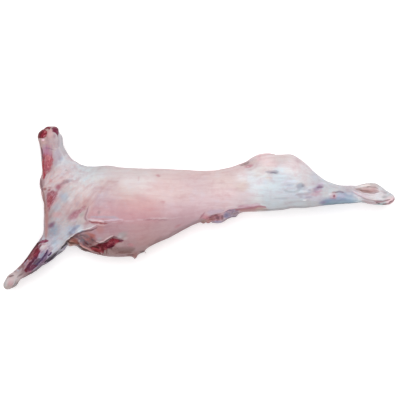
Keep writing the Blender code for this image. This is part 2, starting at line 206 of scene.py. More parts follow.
# Mottled skin: name, place, radii, turn, way of the streaks, grain, stretch, colours, strength, relief
PATCHWORK = [
    ("neck_mottle", (50, 149), (37, 52),
        0, -4, 5, 2.2, ["#A8849C", "#CEBCBC", "#ACA0B0", "#C8A8AE", "#B6AAB6"], 0.45, 0.25),
    ("shoulder_mottle", (66, 186), (101, 98),
        0, 50, 8, 1.8, ["#C4C4D2", "#D6CED1", "#D6B2B6", "#E0D6D5", "#C4A0AC"], 0.34, 0.3),
    ("rib_streaks", (104, 196), (61, 74),
        0, 58, 9, 3, ["#CEACB4", "#E2D0D1", "#C6B0BE", "#DEBCBE"], 0.22, 0.2),
    ("arm_mottle", (63, 228), (61, 49),
        0, 40, 6, 2, ["#A0A2B8", "#C8C2C8", "#CEACAE", "#B8B2C0", "#D4CCD0"], 0.38, 0.3),
    ("foreleg_strands", (38, 257), (61, 23),
        47, 47, 3.6, 6, ["#653D4C", "#9A4B5E", "#B59CB0", "#7D6381", "#CEBCC7", "#908092"], 0.85, 0.5),
    ("armpit_strands", (84, 241), (52, 26),
        -22, -38, 5, 3, ["#503E48", "#9E5C4E", "#7E6A70", "#B46960", "#685C68", "#BC9993"], 0.85, 0.9),
    ("gash_foot", (114, 251), (43, 14),
        0, -70, 3.4, 2.2, ["#684946", "#B39A8E", "#8B6A66", "#A58781", "#77534D"], 0.8, 0.6),
    ("belly_mottle", (122, 243), (55, 34),
        15, 20, 7, 2, ["#967478", "#BEA0A4", "#A88C8E", "#B68E96"], 0.3, 0.2),
    ("cod_front_lumps", (214, 219), (32, 16),
        8, 8, 3.8, 1.2, ["#734145", "#AF757C", "#D6A5B0", "#88545B", "#BF8997"], 0.92, 2),
    ("cod_rear_lumps", (231, 214), (28, 17),
        25, 25, 4.2, 1.3, ["#574458", "#867D9A", "#B0A0B7", "#716174", "#9A8995"], 0.85, 1.6),
    ("hock_strands", (371, 196), (61, 29),
        -4, -8, 2.6, 6, ["#E4D6D9", "#C8B8BD", "#D8C0C5", "#ECE2E5", "#C4AAB1"], 0.42, 0.35),
    ("thigh_mottle", (285, 185), (104, 61),
        0, -8, 10, 1.8, ["#CED4DE", "#E8DEE0", "#DACCD0", "#E4E6EC"], 0.16, 0.25),
    ("shank_mottle", (335, 191), (61, 31),
        -6, -6, 5, 3, ["#C4C4D0", "#D6CCD0", "#B4BCCC", "#CEC4CC"], 0.28, 0.25),
    ("chest_front", (41, 208), (15, 92),
        0, -90, 24, 1.8, ["#C07C7A", "#D8A4A1", "#B46E6E", "#E0B0A8", "#C88C8C"], 0.5, 0.8),
]

# Spots: name, place, radii, turn, colour, strength, relief
SPOTS = [
    ("neck_cut_pale_core", (50.5, 133), (10, 14.5), 0, "#D0A9AB", 0.9, 0.5),
    ("neck_lilac_grey", (57, 156), (12.5, 18.5), 0, "#B8A6B4", 0.6, 0),
    ("shoulder_pink_spot", (50.5, 180.5), (7, 6), 0, "#D58E93", 0.6, 0),
    ("shoulder_red_spot_1", (44.5, 189), (7, 4.5), 0, "#924B47", 0.75, -0.8),
    ("shoulder_red_spot_2", (49, 190), (5, 3.1), 20, "#962932", 0.8, -0.6),
    ("shoulder_blue_grey", (64, 197.5), (14, 18), 40, "#A8AFBC", 0.75, -0.8),
    ("arm_purple_spot", (51, 225), (14, 8), 35, "#80556C", 0.85, -0.8),
    ("ribs_salmon_patch", (99.5, 229.5), (17, 11.5), 0, "#B2736F", 0.55, 0),
    ("belly_pink_spot", (131, 245), (10, 6), 0, "#C77583", 0.4, 0),
    ("tag_front", (135, 254.5), (9, 10.5), 0, "#A06560", 0.7, 0),
    ("tag_rear", (143, 252), (10, 5.5), 0, "#5E4D48", 0.85, 0),
    ("rib_spot_3", (99, 212.5), (5, 4.5), 0, "#8D7079", 0.5, -0.6),
    ("rib_spot_6", (163, 202), (7, 3.7), -10, "#C7959C", 0.75, -0.5),
    ("saddle_mark", (158, 175.5), (7.5, 4), -20, "#BF8D93", 0.85, -0.6),
    ("salmon_streak_1", (132, 200), (30.5, 6), -3, "#DCB8B6", 0.5, 0),
    ("salmon_streak_2", (150, 209), (37, 6), 2, "#CF9CA0", 0.5, 0),
    ("back_fold_pink", (248.5, 166), (14, 7.5), 10, "#C08893", 0.85, -1.4),
    ("back_fold_bright", (248, 166.5), (3.1, 2.1), 0, "#DBC0C7", 0.8, 1),
    ("tail_knob", (260.5, 156.5), (9, 6), 0, "#E5D1D0", 0.7, 1.5),
    # Painted shade: the dark line in the hip dimple
    ("hip_dimple_core", (274, 172.5), (12.5, 2.8), -4, "#635B6A", 0.9, -1.4),
    ("thigh_beige_patch", (268.5, 178), (12.5, 4.5), -5, "#DECDC1", 0.6, 0),
    ("stifle_shade", (300.5, 186.5), (13, 10.5), 15, "#A2ACBC", 0.75, -2),
    # Painted shade in the dents by the stifle: the darkest core, and the blue-grey shade in front of it
    ("stifle_core", (303, 186), (4.5, 3.4), 0, "#8A909E", 0.75, -1),
    ("thigh_blue_dent", (289.5, 185), (13.5, 4), 0, "#BAC6DA", 0.5, -1),
    ("lavender_low", (308.5, 197), (13.5, 3.1), -5, "#A9A1B5", 0.7, 0),
    # Painted highlight: a small white glint on the thigh
    ("thigh_white_spot", (305, 200), (6, 1.5), 5, "#FDFDFD", 0.9, 0.8),
    ("lilac_above_purple", (321, 184), (13, 5), 10, "#E5DEEF", 0.65, 0),
    ("purple_patch", (317.5, 188.5), (19.5, 9), 26, "#A0829E", 0.75, -0.6),
    ("purple_patch_rear", (320.5, 187), (11.5, 4.5), 4, "#8C708E", 0.55, -0.4),
    ("purple_patch_pink", (318.5, 191.5), (12.5, 5), 14, "#C89CB4", 0.75, 0),
    ("purple_patch_halo", (316.5, 194.5), (21, 5.5), 3, "#CDB2BE", 0.65, 0),
    ("shank_spot_halo", (333.5, 195.5), (12.5, 10.5), 0, "#DEBDC4", 0.7, 0.8),
    ("shank_spot_under", (333, 198.5), (10.5, 2.5), 0, "#AF7387", 0.5, 0),
    ("shank_spot_core", (334, 196), (4, 4.5), -10, "#9A6574", 1, -1.4),
    ("shank_lilac", (341.5, 195.5), (15.5, 7), -8, "#C4BFD4", 0.7, 0),
    ("shank_purple_spot", (322.5, 202.5), (12.5, 4.5), 6, "#938DA9", 0.8, 0),
    ("shank_white_bulge", (330, 194), (5, 3.1), 0, "#EAE6EC", 0.7, 0.8),
    ("hock_pink_face", (373.5, 187), (11, 7.5), 0, "#D0BABD", 0.6, 0),
    ("hock_dimple_1", (385.5, 192.5), (7.5, 2.8), -5, "#BBBABE", 0.8, -1),
    ("hock_dimple_2", (385, 197), (7.5, 3.1), 0, "#ABB3B4", 0.8, -1),
    ("groin_salmon", (205.5, 217), (11, 7), 15, "#D88C98", 0.7, 0),
    ("cod_rag_front", (204, 221), (9, 7), 0, "#A8897E", 0.85, 0),
    ("cod_rag_rear", (208.5, 221), (10.5, 7), 0, "#BB928A", 0.7, 0),
    ("cod_fat_blue_edge", (217.5, 222), (18.5, 5), -3, "#9996B1", 0.9, 0),
    ("cod_lobe_grey", (234.5, 213.5), (14, 7), 25, "#AE9AA3", 0.7, 1.8),
    ("cod_lobe_dark", (231.5, 211), (8, 2.5), 10, "#9E7888", 0.6, -1.8),
    ("cod_root_mauve", (228, 212), (9, 3.7), 0, "#B2909B", 0.7, 0),
    ("foreleg_cream_patch", (44, 247), (13, 6), 42, "#CEC2C6", 0.8, 0.8),
    ("foreleg_foot_pink", (29.5, 271.5), (5, 2.8), -20, "#BD738E", 0.8, 0),
    ("foreleg_tendon", (18, 270.5), (5, 4.5), -30, "#BAC2D2", 0.8, 0.6),
    ("pastern_grey", (15, 271.5), (4, 2.5), -30, "#6B7176", 0.7, 0),
    ("knee_dome", (11, 281.5), (13, 14), -30, "#D6BFC3", 0.7, 0.6),
    ("knee_pink", (10.5, 284), (7.5, 7.5), 0, "#C8A5AA", 0.75, 0.4),
    ("armpit_brown", (86.5, 234), (13, 5), 0, "#AB7870", 0.6, -1),
    ("armpit_red_patch", (92, 235.5), (11.5, 8), -25, "#A8635B", 0.85, -0.8),
    ("armpit_orange", (74.5, 240.5), (16.5, 7.5), -38, "#995B4F", 0.85, -1),
    ("armpit_grey_brown", (91.5, 242), (12.5, 7.5), -20, "#7E6465", 0.6, -1.5),
    ("armpit_hollow_blue", (82, 240), (9, 4.5), -35, "#6E7077", 0.8, -3),
    # Painted shade at the deepest part of the armpit hollow
    ("armpit_hollow", (86, 243.5), (11.5, 5), -32, "#563743", 0.9, -3.5),
    ("gash_roof_grey", (99.5, 239.5), (10.5, 7.5), 20, "#ABA6AA", 0.7, 0.8),
    ("gash_roof_pink", (105.5, 237), (15.5, 6), 32, "#AF9293", 0.6, 1),
    ("tissue_grey_white", (122, 235), (16.5, 10.5), 12, "#9F9E9E", 0.6, 0.6),
    ("cod_red_front", (212.5, 218.5), (6, 4.5), 0, "#905E5F", 0.7, -1.5),
    ("cod_red_mid", (217, 217.5), (8, 3.7), 0, "#845862", 0.85, 0.6),
    ("cod_red_rear", (222, 218), (4.5, 5), 0, "#55343E", 0.45, -1.5),
    ("thigh_yellowish", (242.5, 186), (18.5, 15.5), 0, "#E0CDC1", 0.4, 0),
    ("cod_blue_front", (226, 215.5), (9, 11), -15, "#82819E", 0.75, 2.2),
    ("neck_muscle_halo", (49.5, 164), (18.5, 30.5), 0, "#B78C96", 0.75, 0),
    ("neck_fat_spot", (43, 139.5), (6, 3.4), 0, "#FDDDEA", 0.85, 0.8),
    ("neck_cream", (43.5, 142.5), (10.5, 6), 0, "#CEA8A5", 0.7, 0),
    ("neck_grey_blue", (60.5, 158.5), (10, 7), 20, "#A3A1AF", 0.6, -0.5),
    ("neck_foot_grey", (56, 163), (7.5, 10.5), 0, "#A995A8", 0.6, 0),
    ("shoulder_crescent_low", (58.5, 187), (10, 11.5), -35, "#A56274", 0.9, -1),
    ("shoulder_crescent_top", (66.5, 181.5), (13.5, 7.5), 16, "#9D767B", 0.85, -0.9),
    ("shoulder_dot_2", (66.5, 170.5), (3.7, 3.7), 0, "#9F8E93", 0.6, -0.4),
    ("rose_halo", (77.5, 213), (32, 9), 34, "#BA9CA0", 0.75, 0),
    ("web_blue_dent", (73.5, 231), (6, 9), -25, "#AFC0D6", 0.75, -1.6),
    ("web_blue_core", (70.5, 233), (4.5, 3.7), 0, "#675F84", 0.6, -0.8),
    ("armpit_dark_dot", (91, 237.5), (4.5, 3.1), -20, "#8F4E4F", 0.7, -0.8),
    ("tissue_pale", (119.5, 236.5), (7.5, 4.5), 20, "#C4B6BB", 0.6, 0.6),
    ("belly_brown", (128, 250.5), (21.5, 7), 0, "#8C6D67", 0.6, 0),
    ("foreleg_tip_maroon", (26.5, 270), (7.5, 4.5), 35, "#7A384A", 0.8, 0),
    ("tail_red_mark", (257.5, 159.5), (6, 4.5), -30, "#F4CFD8", 0.7, -0.6),
    ("back_fold_brown", (245.5, 163), (9, 4.5), 25, "#A79089", 0.6, -1.4),
    ("cod_hump_1", (213, 218.5), (8, 7), 0, "#A67778", 0.7, 2.4),
    ("cod_hump_2", (218.5, 218), (7.5, 7.5), 0, "#745762", 0.7, 2.6),
    ("cod_pit_2", (222, 217), (3.7, 5.5), 0, "#53313E", 0.5, -2.6),
    ("cod_pit_3", (210.5, 219.5), (3.4, 3.4), 0, "#A06864", 0.9, -2),
    ("shoulder_patch_halo", (53, 197), (18.5, 24.5), 20, "#C09AA5", 0.5, 0),
    ("shoulder_blue_low", (56.5, 206.5), (14, 12.5), 40, "#ACB0BA", 0.6, -0.5),
    ("shoulder_salmon_low", (56, 214.5), (17, 9), 0, "#CDA0A2", 0.6, 0.3),
    ("gash_shadow", (99, 243.5), (14, 4), -8, "#7C575B", 0.7, -1.5),
    ("gash_halo_low", (108, 250.5), (18.5, 9), 0, "#886465", 0.2, 0),
    # Painted shade in the hollows under the armpit and along the cod's edge
    ("armpit_edge_hollow", (79, 248), (21.5, 8), -30, "#705042", 0.3, -4),
    ("cod_edge_hollow", (230, 219.5), (18.5, 7.5), 25, "#7B748A", 0.3, -3),
    ("neck_white_blue", (65.5, 163), (13.5, 7.5), 30, "#CDD1D7", 0.6, 0.4),
    ("rose_low", (73.5, 215), (19.5, 12.5), 34, "#B08290", 0.8, -0.4),
    ("tail_streak_1", (259.5, 156.5), (10.5, 2.1), 20, "#E7BFC6", 0.7, 0),
    ("back_fold_halo", (246.5, 163.5), (18.5, 9), 25, "#B29194", 0.5, -1),
    ("neck_purple", (46.5, 149.5), (17, 15.5), 0, "#B37A97", 0.8, 0),
    ("neck_pink_low", (47, 154), (15.5, 7), 0, "#C082A3", 0.65, 0),
    ("neck_grey_haze", (57.5, 154.5), (14, 13.5), 0, "#B8AEB8", 0.6, 0),
    ("foreleg_rear_shade", (54.5, 254.5), (14, 5), 40, "#645E72", 0.8, 0),
    ("foreleg_teal", (42.5, 254.5), (4.5, 8.5), -35, "#6C7887", 0.7, -0.3),
    ("shoulder_front_grey", (43, 182), (8, 17), 0, "#94747A", 0.65, 0),
    ("armpit_brown_dark", (78.5, 243.5), (8, 4), -38, "#5B3932", 0.7, -0.6),
    ("foreleg_front_dull", (26, 263), (5, 3.7), 45, "#684852", 0.6, 0),
    ("shoulder_red_spot_4", (49.5, 187.5), (7, 3.7), 0, "#A86E71", 0.6, -0.3),
    ("stifle_rear", (305.5, 188.5), (8, 5.5), 0, "#A9A8B8", 0.5, -0.6),
    ("shoulder_pale_mid", (71, 200.5), (10, 13), -35, "#D9D9DB", 0.65, 0.3),
    ("gash_low_dark", (110.5, 248.5), (6, 3.1), 0, "#4D282E", 0.7, -0.8),
    ("elbow_blue", (54.5, 242.5), (10.5, 8), 30, "#929BAB", 0.5, 0),
    ("thigh_beige_low", (256.5, 175.5), (18.5, 5.5), 0, "#CCBAB8", 0.55, 0),
    ("shank_lilac_rear", (349, 193.5), (9, 4.5), -8, "#E0E0E5", 0.5, 0.3),
    ("armpit_low_dark", (90.5, 244.5), (6, 3.4), -25, "#4E3032", 0.6, -0.8),
    ("tail_shade", (249.5, 170), (12.5, 5.5), 10, "#C3A8A8", 0.5, 0),
    ("neck_core_mauve", (54.5, 135.5), (5.5, 8), 0, "#A17282", 0.6, 0),
    ("arm_pale_dot", (73.5, 220.5), (9, 4.5), 0, "#D7CDD7", 0.5, 0.3),
    ("rib_olive_grey", (81.5, 214.5), (7.5, 10.5), -30, "#9C9995", 0.6, -0.3),
    ("shoulder_dot_6", (71.5, 180.5), (5.5, 3.1), 0, "#A69199", 0.6, -0.3),
    ("stifle_rear_low", (309.5, 190.5), (8, 5.5), 0, "#A0A0B0", 0.5, 0),
    ("tissue_pale_rear", (125.5, 238.5), (7.5, 4.5), 12, "#C5BBBA", 0.5, 0.3),
    ("brown_wedge_dull", (301.5, 196.5), (9, 3.7), 5, "#A49AA5", 0.5, 0),
    ("neck_foot_lilac", (59.5, 162.5), (7, 5), 30, "#ACA0AD", 0.5, 0),
    ("cod_low_dark", (222.5, 219.5), (5, 3.7), 0, "#6C5460", 0.7, 0),
    ("elbow_rear_pale", (59, 246), (5.5, 8), -35, "#DED4DA", 0.6, 0),
    ("belly_rim_red", (178.5, 226), (10.5, 4.5), 26, "#BA8086", 0.55, 0),
]

# Lines: name, places, half width, colour, strength, relief
LINES = [
    ("neck_purple_edge", [(41, 147.5), (41.5, 150), (42, 154), (43, 160.5)], 4.5, "#683248", 0.85, -0.6),
    ("neck_rear_strip", [(60.5, 134.5), (61, 146), (64.5, 155)], 5, "#BEB4BA", 0.7, 0.8),
    ("neck_rear_step", [(58.5, 134.5), (59, 140), (59, 147)], 1.8, "#B5ACB4", 0.75, -1.6),
    # Painted shade on the bump at the shoulder's front edge
    ("shoulder_edge_mauve", [(40.5, 178), (41, 184), (42.5, 191.5)], 4.5, "#7B555C", 0.85, 0),
    ("shoulder_front_tan", [(47, 205), (46.5, 222), (46, 238)], 5, "#B37B78", 0.7, 0),
    # Painted shade along the rear edge of the shoulder blade
    ("shoulder_rear_arc", [(117, 181.5), (108, 182.5), (102, 188), (97, 195), (92, 201),
        (88.5, 206.5)], 5, "#C5A5A6", 0.5, -1.2),
    ("crease", [(88.5, 206.5), (86, 213.5), (84.5, 218), (86.5, 221)], 2.8, "#9C7883", 0.8, -1.2),
    ("crease_lip", [(90, 207), (87.5, 213.5), (86, 217.5), (88, 220.5)], 1.8, "#DECAD9", 0.25, 0.5),
    ("lilac_streak_1", [(90, 216.5), (104, 217), (118, 218)], 4, "#B4B6C5", 0.6, -0.5),
    ("lilac_streak_2", [(88, 219.5), (96, 220), (104, 221)], 3.4, "#DED5DE", 0.6, 0.6),
    ("pale_streak", [(104, 220.5), (113, 220), (123, 219.5)], 2.1, "#DCD2E1", 0.5, 0.5),
    ("slit_lip_upper", [(91, 221), (97, 221), (104, 222)], 1.8, "#FDD4D2", 0.6, 1),
    ("slit_lip_lower", [(94, 224.5), (100, 225), (105, 225)], 1.8, "#DBB6B3", 0.5, 0.8),
    ("web_pale", [(79, 228), (86, 227), (93, 225.5)], 7, "#CFC9CC", 0.6, 0.6),
    ("web_edge_lip", [(95.5, 225.5), (88.5, 229), (81, 230), (75, 233.5), (70, 237.5), (65.5, 240.5),
        (62.5, 244.5), (60, 248)], 1.8, "#FDFDFD", 0.6, 1.4),
    ("gash_flap_edge", [(96, 241.5), (99.5, 242.5), (103.5, 241), (108.5, 237.5),
        (113, 235)], 2.1, "#DEC4C6", 0.8, 2.4),
    ("belly_brown_band", [(118, 252), (124, 252.5), (131, 252.5)], 4.5, "#7E4F44", 0.6, 0),
    ("belly_red_edge", [(126, 255), (133.5, 255)], 2.8, "#742E2A", 0.7, 0),
    # A pale tendon line along the side, partly its own colour and partly painted highlight
    ("side_pale_line", [(112, 222.5), (130, 221), (150, 219), (170, 218.5),
        (186, 216.5)], 1.5, "#E0D0D5", 0.28, 0.7),
    ("side_pale_line_core", [(151, 218.5), (160, 218.5), (169, 218.5)], 1.8, "#EBDBDE", 0.28, 0.6),
    # Painted shade in the groove beside the tendon line
    ("side_dark_line", [(144, 220), (156, 219.5), (168, 220)], 1.5, "#A37881", 0.55, -0.7),
    ("saddle_thread", [(138.5, 176), (138.5, 181.5)], 1.8, "#C9A7AE", 0.5, 0),
    ("back_fold_dark", [(240.5, 165.5), (244.5, 163.5), (248.5, 161.5)], 4, "#8D6E6B", 0.6, -2.2),
    ("back_fold_grey", [(250, 163.5), (254, 161.5), (258, 160)], 6, "#D6C3BE", 0.55, 0),
    # Painted shade in the hip dimple
    ("hip_dimple", [(266, 171.5), (271, 172), (278.5, 171.5)], 3.7, "#A09CAA", 0.6, -2.2),
    ("thigh_rim", [(281.5, 181.5), (289, 181), (296, 182.5)], 3.1, "#E1E7F5", 0.7, 0.8),
    # Painted shade: a crescent under the thigh's dent
    ("thigh_crescent", [(283.5, 190), (288, 192), (294, 192), (300, 190)], 3.4, "#ACB1B7", 0.6, -1.2),
    ("brown_wedge", [(295.5, 195), (303, 194), (311, 193)], 4.5, "#9F8F9B", 0.5, -1),
    ("thigh_low_band", [(272, 198.5), (280, 199), (288, 199)], 2.5, "#B3BAC1", 0.6, -0.6),
    ("purple_patch_top", [(317, 187.5), (323.5, 187)], 2.5, "#7C6480", 0.45, -1),
    ("shank_streak", [(335.5, 192.5), (339, 191.5), (344, 192)], 3.1, "#867488", 0.75, -1.6),
    ("shank_spot_brow", [(332, 192.5), (336, 192)], 2.5, "#A78A8E", 0.8, -0.8),
    ("shank_teal_edge", [(322, 204), (332, 203.5), (342, 203), (352, 202.5),
        (358, 202.5)], 2.8, "#869AA4", 0.85, 0),
    ("hock_recess_brown", [(354.5, 189), (361, 189.5), (367, 191), (372, 191.5)], 5, "#A08684", 0.8, -2),
    ("hock_recess_red", [(361, 190), (369, 190), (378, 190.5)], 7, "#BE9898", 0.85, -2),
    ("hock_brown_mark", [(366.5, 187), (369, 187)], 1.8, "#745B53", 0.8, -0.8),
    ("hock_cream_crest", [(360, 185.5), (370.5, 185.5)], 2.8, "#F7E7E5", 0.7, 0.8),
    ("hock_tendon_pink", [(353, 192), (360, 195), (368, 197)], 2.8, "#D8C0CC", 0.75, 1.4),
    ("hock_tendon_shade", [(355, 193.5), (360, 196), (363, 197)], 2.1, "#B3A1B4", 0.8, -1),
    ("hock_seam", [(362, 198.5), (368, 200), (374, 200.5)], 1.8, "#AD9095", 0.7, -1.4),
    ("hock_low_ridge", [(362, 200.5), (369, 202), (376, 202.5), (384, 202.5)], 2.8, "#C1A6AB", 0.75, 1.4),
    ("hock_red_1", [(376, 202.5), (380, 203.5)], 2.8, "#613B3E", 0.9, -1),
    ("hock_red_2", [(383, 204.5), (386.5, 204.5)], 2.5, "#62373F", 0.9, -0.6),
    ("hock_red_3", [(389.5, 202.5), (393, 201)], 2.5, "#764958", 0.9, -0.6),
    ("hock_tip_pink", [(386, 199.5), (390, 198.5), (393, 196.5)], 3.1, "#E0D5D6", 0.8, 0.8),
    ("ventral_red_strip", [(236, 210), (243, 209), (250.5, 208), (256.5, 207.5),
        (265, 207.5)], 5, "#AF6878", 0.85, -2),
    ("ventral_brown_strip", [(240, 211), (250, 210.5), (262, 209.5)], 3.7, "#CC9997", 0.8, 0),
    ("ventral_grey_edge", [(256, 209.5), (268, 209.5)], 3.7, "#CBB1AA", 0.8, 0),
    ("groin_lavender", [(208, 212.5), (216, 211.5), (223.5, 210.5)], 7, "#BCA4C4", 0.35, 0),
    ("groin_crease", [(205, 212.5), (202.5, 215.5), (200, 218.5)], 2.5, "#B27484", 0.7, -0.8),
    ("foreleg_pink_gap", [(44, 243.5), (40.5, 244.5), (38.5, 245.5)], 1.8, "#B27584", 0.8, 0.6),
    ("foreleg_pink_line", [(32.5, 259), (29.5, 262), (26.5, 265.5),
        (23.5, 269.5)], 2, "#B0848E", 0.85, 0.9),
    ("foreleg_orange_line", [(30, 259), (28, 262), (25.5, 264.5)], 1.8, "#AB706E", 0.7, 0.6),
    ("foreleg_blue_strip", [(44.5, 249.5), (43, 253), (41, 256.5), (39, 259)], 3.4, "#A0A7B9", 0.7, 0.8),
    ("foreleg_purple_zone", [(41, 258), (37.5, 261.5), (33.5, 265)], 6.5, "#5A4455", 0.85, 0),
    ("foreleg_strand_light", [(36, 259.5), (33, 262), (30, 264.5)], 1.5, "#967C92", 0.8, 0.7),
    ("foreleg_lavender_strip", [(46.5, 257), (44, 260.5), (40, 264.5), (36.5, 268),
        (33.5, 271)], 2.1, "#8C6476", 0.8, 0.9),
    ("foreleg_rear_grey", [(43, 264.5), (38.5, 268.5), (35, 271.5), (31, 273),
        (28, 274.5)], 3.1, "#5C5157", 0.8, 0),
    ("pastern_fold", [(22, 274), (18.5, 275.5)], 2.5, "#8B7172", 0.8, -1.2),
    ("knee_fold", [(13.5, 275.5), (9, 277)], 2.5, "#7C5D5D", 0.85, -1.6),
    ("knee_rim_grey", [(5, 287), (5, 282.5), (7, 278.5)], 2.5, "#C4C9CA", 0.7, 0),
    ("knee_rim_cream", [(6.5, 287), (6.5, 283), (8.5, 279)], 2.1, "#DACECC", 0.7, 0.5),
    ("knee_ring_pale", [(14, 278.5), (14.5, 281.5), (13, 284.5)], 1.8, "#CDC4C6", 0.7, 0.5),
    ("knee_ring_dark", [(15.5, 281), (14.5, 285), (12.5, 287)], 1.8, "#8C8F90", 0.8, -0.6),
    # Painted shadow in the crevice under the web
    ("web_crevice", [(96.5, 228), (90, 231), (85, 232), (80.5, 233), (75, 236), (70, 240), (66.5, 243),
        (63.5, 246.5), (61.5, 249.5)], 2.6, "#704E50", 0.8, -3.2),
    ("armpit_fold", [(79.5, 242.5), (82.5, 246), (87, 248.5), (92.5, 251)], 3.4, "#DFA4A0", 0.85, 2),
    ("armpit_fold_shade", [(79, 242), (82.5, 245), (87.5, 247.5), (91, 249.5)], 1.8, "#7E595E", 0.75, -1.6),
    ("armpit_strand_2", [(79.5, 236), (84, 239.5), (88.5, 243.5)], 1.4, "#70666B", 0.6, 0.8),
    ("armpit_strand_3", [(83, 241.5), (88, 244), (93.5, 246.5)], 1.5, "#764E50", 0.6, 0.6),
    ("gash_strand_dark_1", [(103.5, 250.5), (103, 255)], 1.5, "#714438", 0.8, -0.6),
    ("gash_strand_pale", [(105, 250), (104.5, 255)], 1.5, "#89706C", 0.8, 0.8),
    ("gash_strand_dark_2", [(106.5, 249.5), (106.5, 255)], 1.5, "#693A35", 0.8, -0.6),
    # Painted shadow along the top of the cod
    ("cod_dark_top", [(209, 218), (214, 216.5), (218, 216.5), (223, 215.5)], 1.8, "#7C464D", 0.3, -1.2),
    ("cod_brown_streak", [(213.5, 219), (219.5, 219.5)], 1.5, "#7A595E", 0.7, -0.6),
    ("cod_olive_line", [(231, 213.5), (237.5, 212)], 1.5, "#9C7A77", 0.7, -0.5),
    ("shank_blue_band", [(329, 202), (340, 201.5), (352, 200.5), (358, 200)], 3.7, "#98AAB9", 0.7, 0),
    # Dark brown along the shoulder's front edge, partly its own colour and partly painted shade
    ("shoulder_edge_brown", [(43, 191), (44, 198), (45, 206), (45.5, 214)], 3.7, "#926862", 0.8, 0),
    ("shoulder_crescent_link", [(60.5, 184.5), (64, 182.5)], 4, "#A37E87", 0.75, -0.6),
    ("armpit_strand_4", [(76.5, 236.5), (81, 240.5), (85, 245.5)], 1.5, "#775B67", 0.7, -1),
    ("foreleg_purple_haze", [(48, 251), (45, 256), (41, 261)], 7, "#9C81A9", 0.6, 0),
    ("foreleg_lilac_zone", [(49.5, 257), (46, 260.5), (42, 264.5), (38, 268)], 5, "#836D81", 0.7, 0),
    ("foreleg_shade_strand", [(47, 259.5), (43.5, 263), (39.5, 267)], 1.5, "#795F7D", 0.6, -0.6),
    ("shin_grey", [(22, 268.5), (19, 272), (16, 275)], 3.1, "#B6A7AA", 0.6, 0),
    ("shin_dark", [(23.5, 272), (20.5, 274.5), (17, 277.5)], 1.8, "#806F72", 0.6, -0.6),
    ("ventral_pink_top", [(238, 207), (248, 205.5), (260, 204.5)], 5, "#D1A3B7", 0.6, 0),
    ("shank_pale_blue", [(345, 197), (351, 197.5), (357, 198.5)], 6, "#B7C4D2", 0.7, 0.5),
    ("hock_recess_top", [(358, 188), (363, 187.5), (369, 187), (375, 187.5),
        (378.5, 189)], 1.5, "#A0807C", 0.8, -1),
    ("hock_ridge_1", [(352, 190.5), (357, 194), (362, 196), (369, 198)], 1.8, "#E7DCE2", 0.85, 1.6),
    ("hock_ridge_1_shade", [(352, 192), (357, 195), (362, 197.5),
        (366, 198.5)], 1.5, "#BCA0AB", 0.45, -0.9),
    ("hock_ridge_2", [(351, 187), (356, 190), (361, 192.5), (368, 194.5),
        (377, 194.5)], 2.1, "#D8CCD1", 0.75, 1.4),
    ("hock_ridge_2_shade", [(353.5, 189.5), (358, 192), (363, 194), (369, 195.5)], 1.4, "#CBAFB5", 0.7, -1),
    ("hock_seam_lip", [(362, 196.5), (368, 199), (376, 199.5), (384, 199.5)], 1.8, "#EDD9DC", 0.7, 1.2),
    ("hock_low_dark", [(366, 203), (372, 204), (378, 203.5)], 2.1, "#DCC2C9", 0.8, 0),
    ("hock_tip_edge", [(384, 204), (389.5, 203.5), (393.5, 200.5), (395, 197)], 2.5, "#9E7C7E", 0.85, 0),
    ("cod_top_shadow", [(205, 219.5), (211, 216.5), (217, 215), (223, 213.5), (229, 210.5),
        (237, 208.5)], 2.5, "#A2737F", 0.25, -1.6),
    ("cod_vein_pale", [(224, 212), (229, 209.5), (235, 208)], 1.8, "#F1C0D0", 0.7, 0.8),
    ("cod_low_pink", [(211, 221.5), (216, 222.5), (221, 222)], 2.5, "#C4ACB2", 0.4, 0.6),
    ("leg_rear_dark", [(54.5, 255), (51, 257.5), (48, 260), (44.5, 262.5)], 4.5, "#331B30", 0.92, 0),
    ("foreleg_strand_light_2", [(34.5, 266), (31, 269)], 1.2, "#8C6878", 0.7, 0.6),
    # Dark brown under the armpit fold, partly the tissue's own colour and partly painted shade
    ("armpit_edge_brown", [(67.5, 241.5), (71, 242.5), (75, 244), (79, 246.5), (84, 249.5),
        (90, 252)], 4.5, "#5C2E21", 0.95, 0),
    ("gash_low_strand_1", [(107.5, 249), (108.5, 254.5)], 1.2, "#66403F", 0.6, -0.5),
    ("foreleg_purple_mid", [(47.5, 254), (44.5, 258.5), (40.5, 262.5), (36.5, 266)], 5, "#694C67", 0.7, 0),
    ("neck_rear_edge", [(61.5, 136), (62.5, 145), (65.5, 152), (70.5, 159)], 2.1, "#B0AEB1", 0.6, 0),
    ("cod_bottom_dark_2", [(222, 221.5), (229, 218.5), (236, 215.5)], 2.1, "#48495B", 0.7, 0),
    ("near_leg_olive", [(61.5, 250), (57.5, 253), (53.5, 256)], 4, "#686866", 0.9, 0),
    ("foreleg_top_pale", [(45.5, 244), (42, 245), (39.5, 246.5)], 2.1, "#B28692", 0.8, 0.6),
    ("shoulder_rim", [(71, 183), (66.5, 184), (62.5, 187), (59.5, 190.5), (58, 194), (56.5, 198),
        (54, 203), (50.5, 208.5)], 2.8, "#CDB2B7", 0.85, 1),
    ("hock_recess_strand", [(360, 187.5), (367, 188), (374, 189)], 1.5, "#D2B7B7", 0.8, 0.8),
    ("hock_seam_rear", [(374, 201), (380, 201.5), (386, 201), (390.5, 199.5)], 2.3, "#A17C84", 0.9, -2),
    # Painted shadow in the crevice between the near foreleg and the chest
    ("near_leg_crevice", [(68, 240), (66, 243), (64.5, 246.5), (63, 249)], 2.5, "#2B1823", 0.95, 0),
    ("far_leg_purple", [(68.5, 244), (66.5, 247), (64.5, 250)], 4.5, "#8C7CA0", 0.75, 0),
    ("far_leg_dark", [(63, 251.5), (60, 254), (57, 256.5), (53, 259)], 3.4, "#564C54", 0.7, 0),
    ("belly_front_shade", [(112, 250), (120, 250), (134, 249)], 9, "#715351", 0.45, 0),
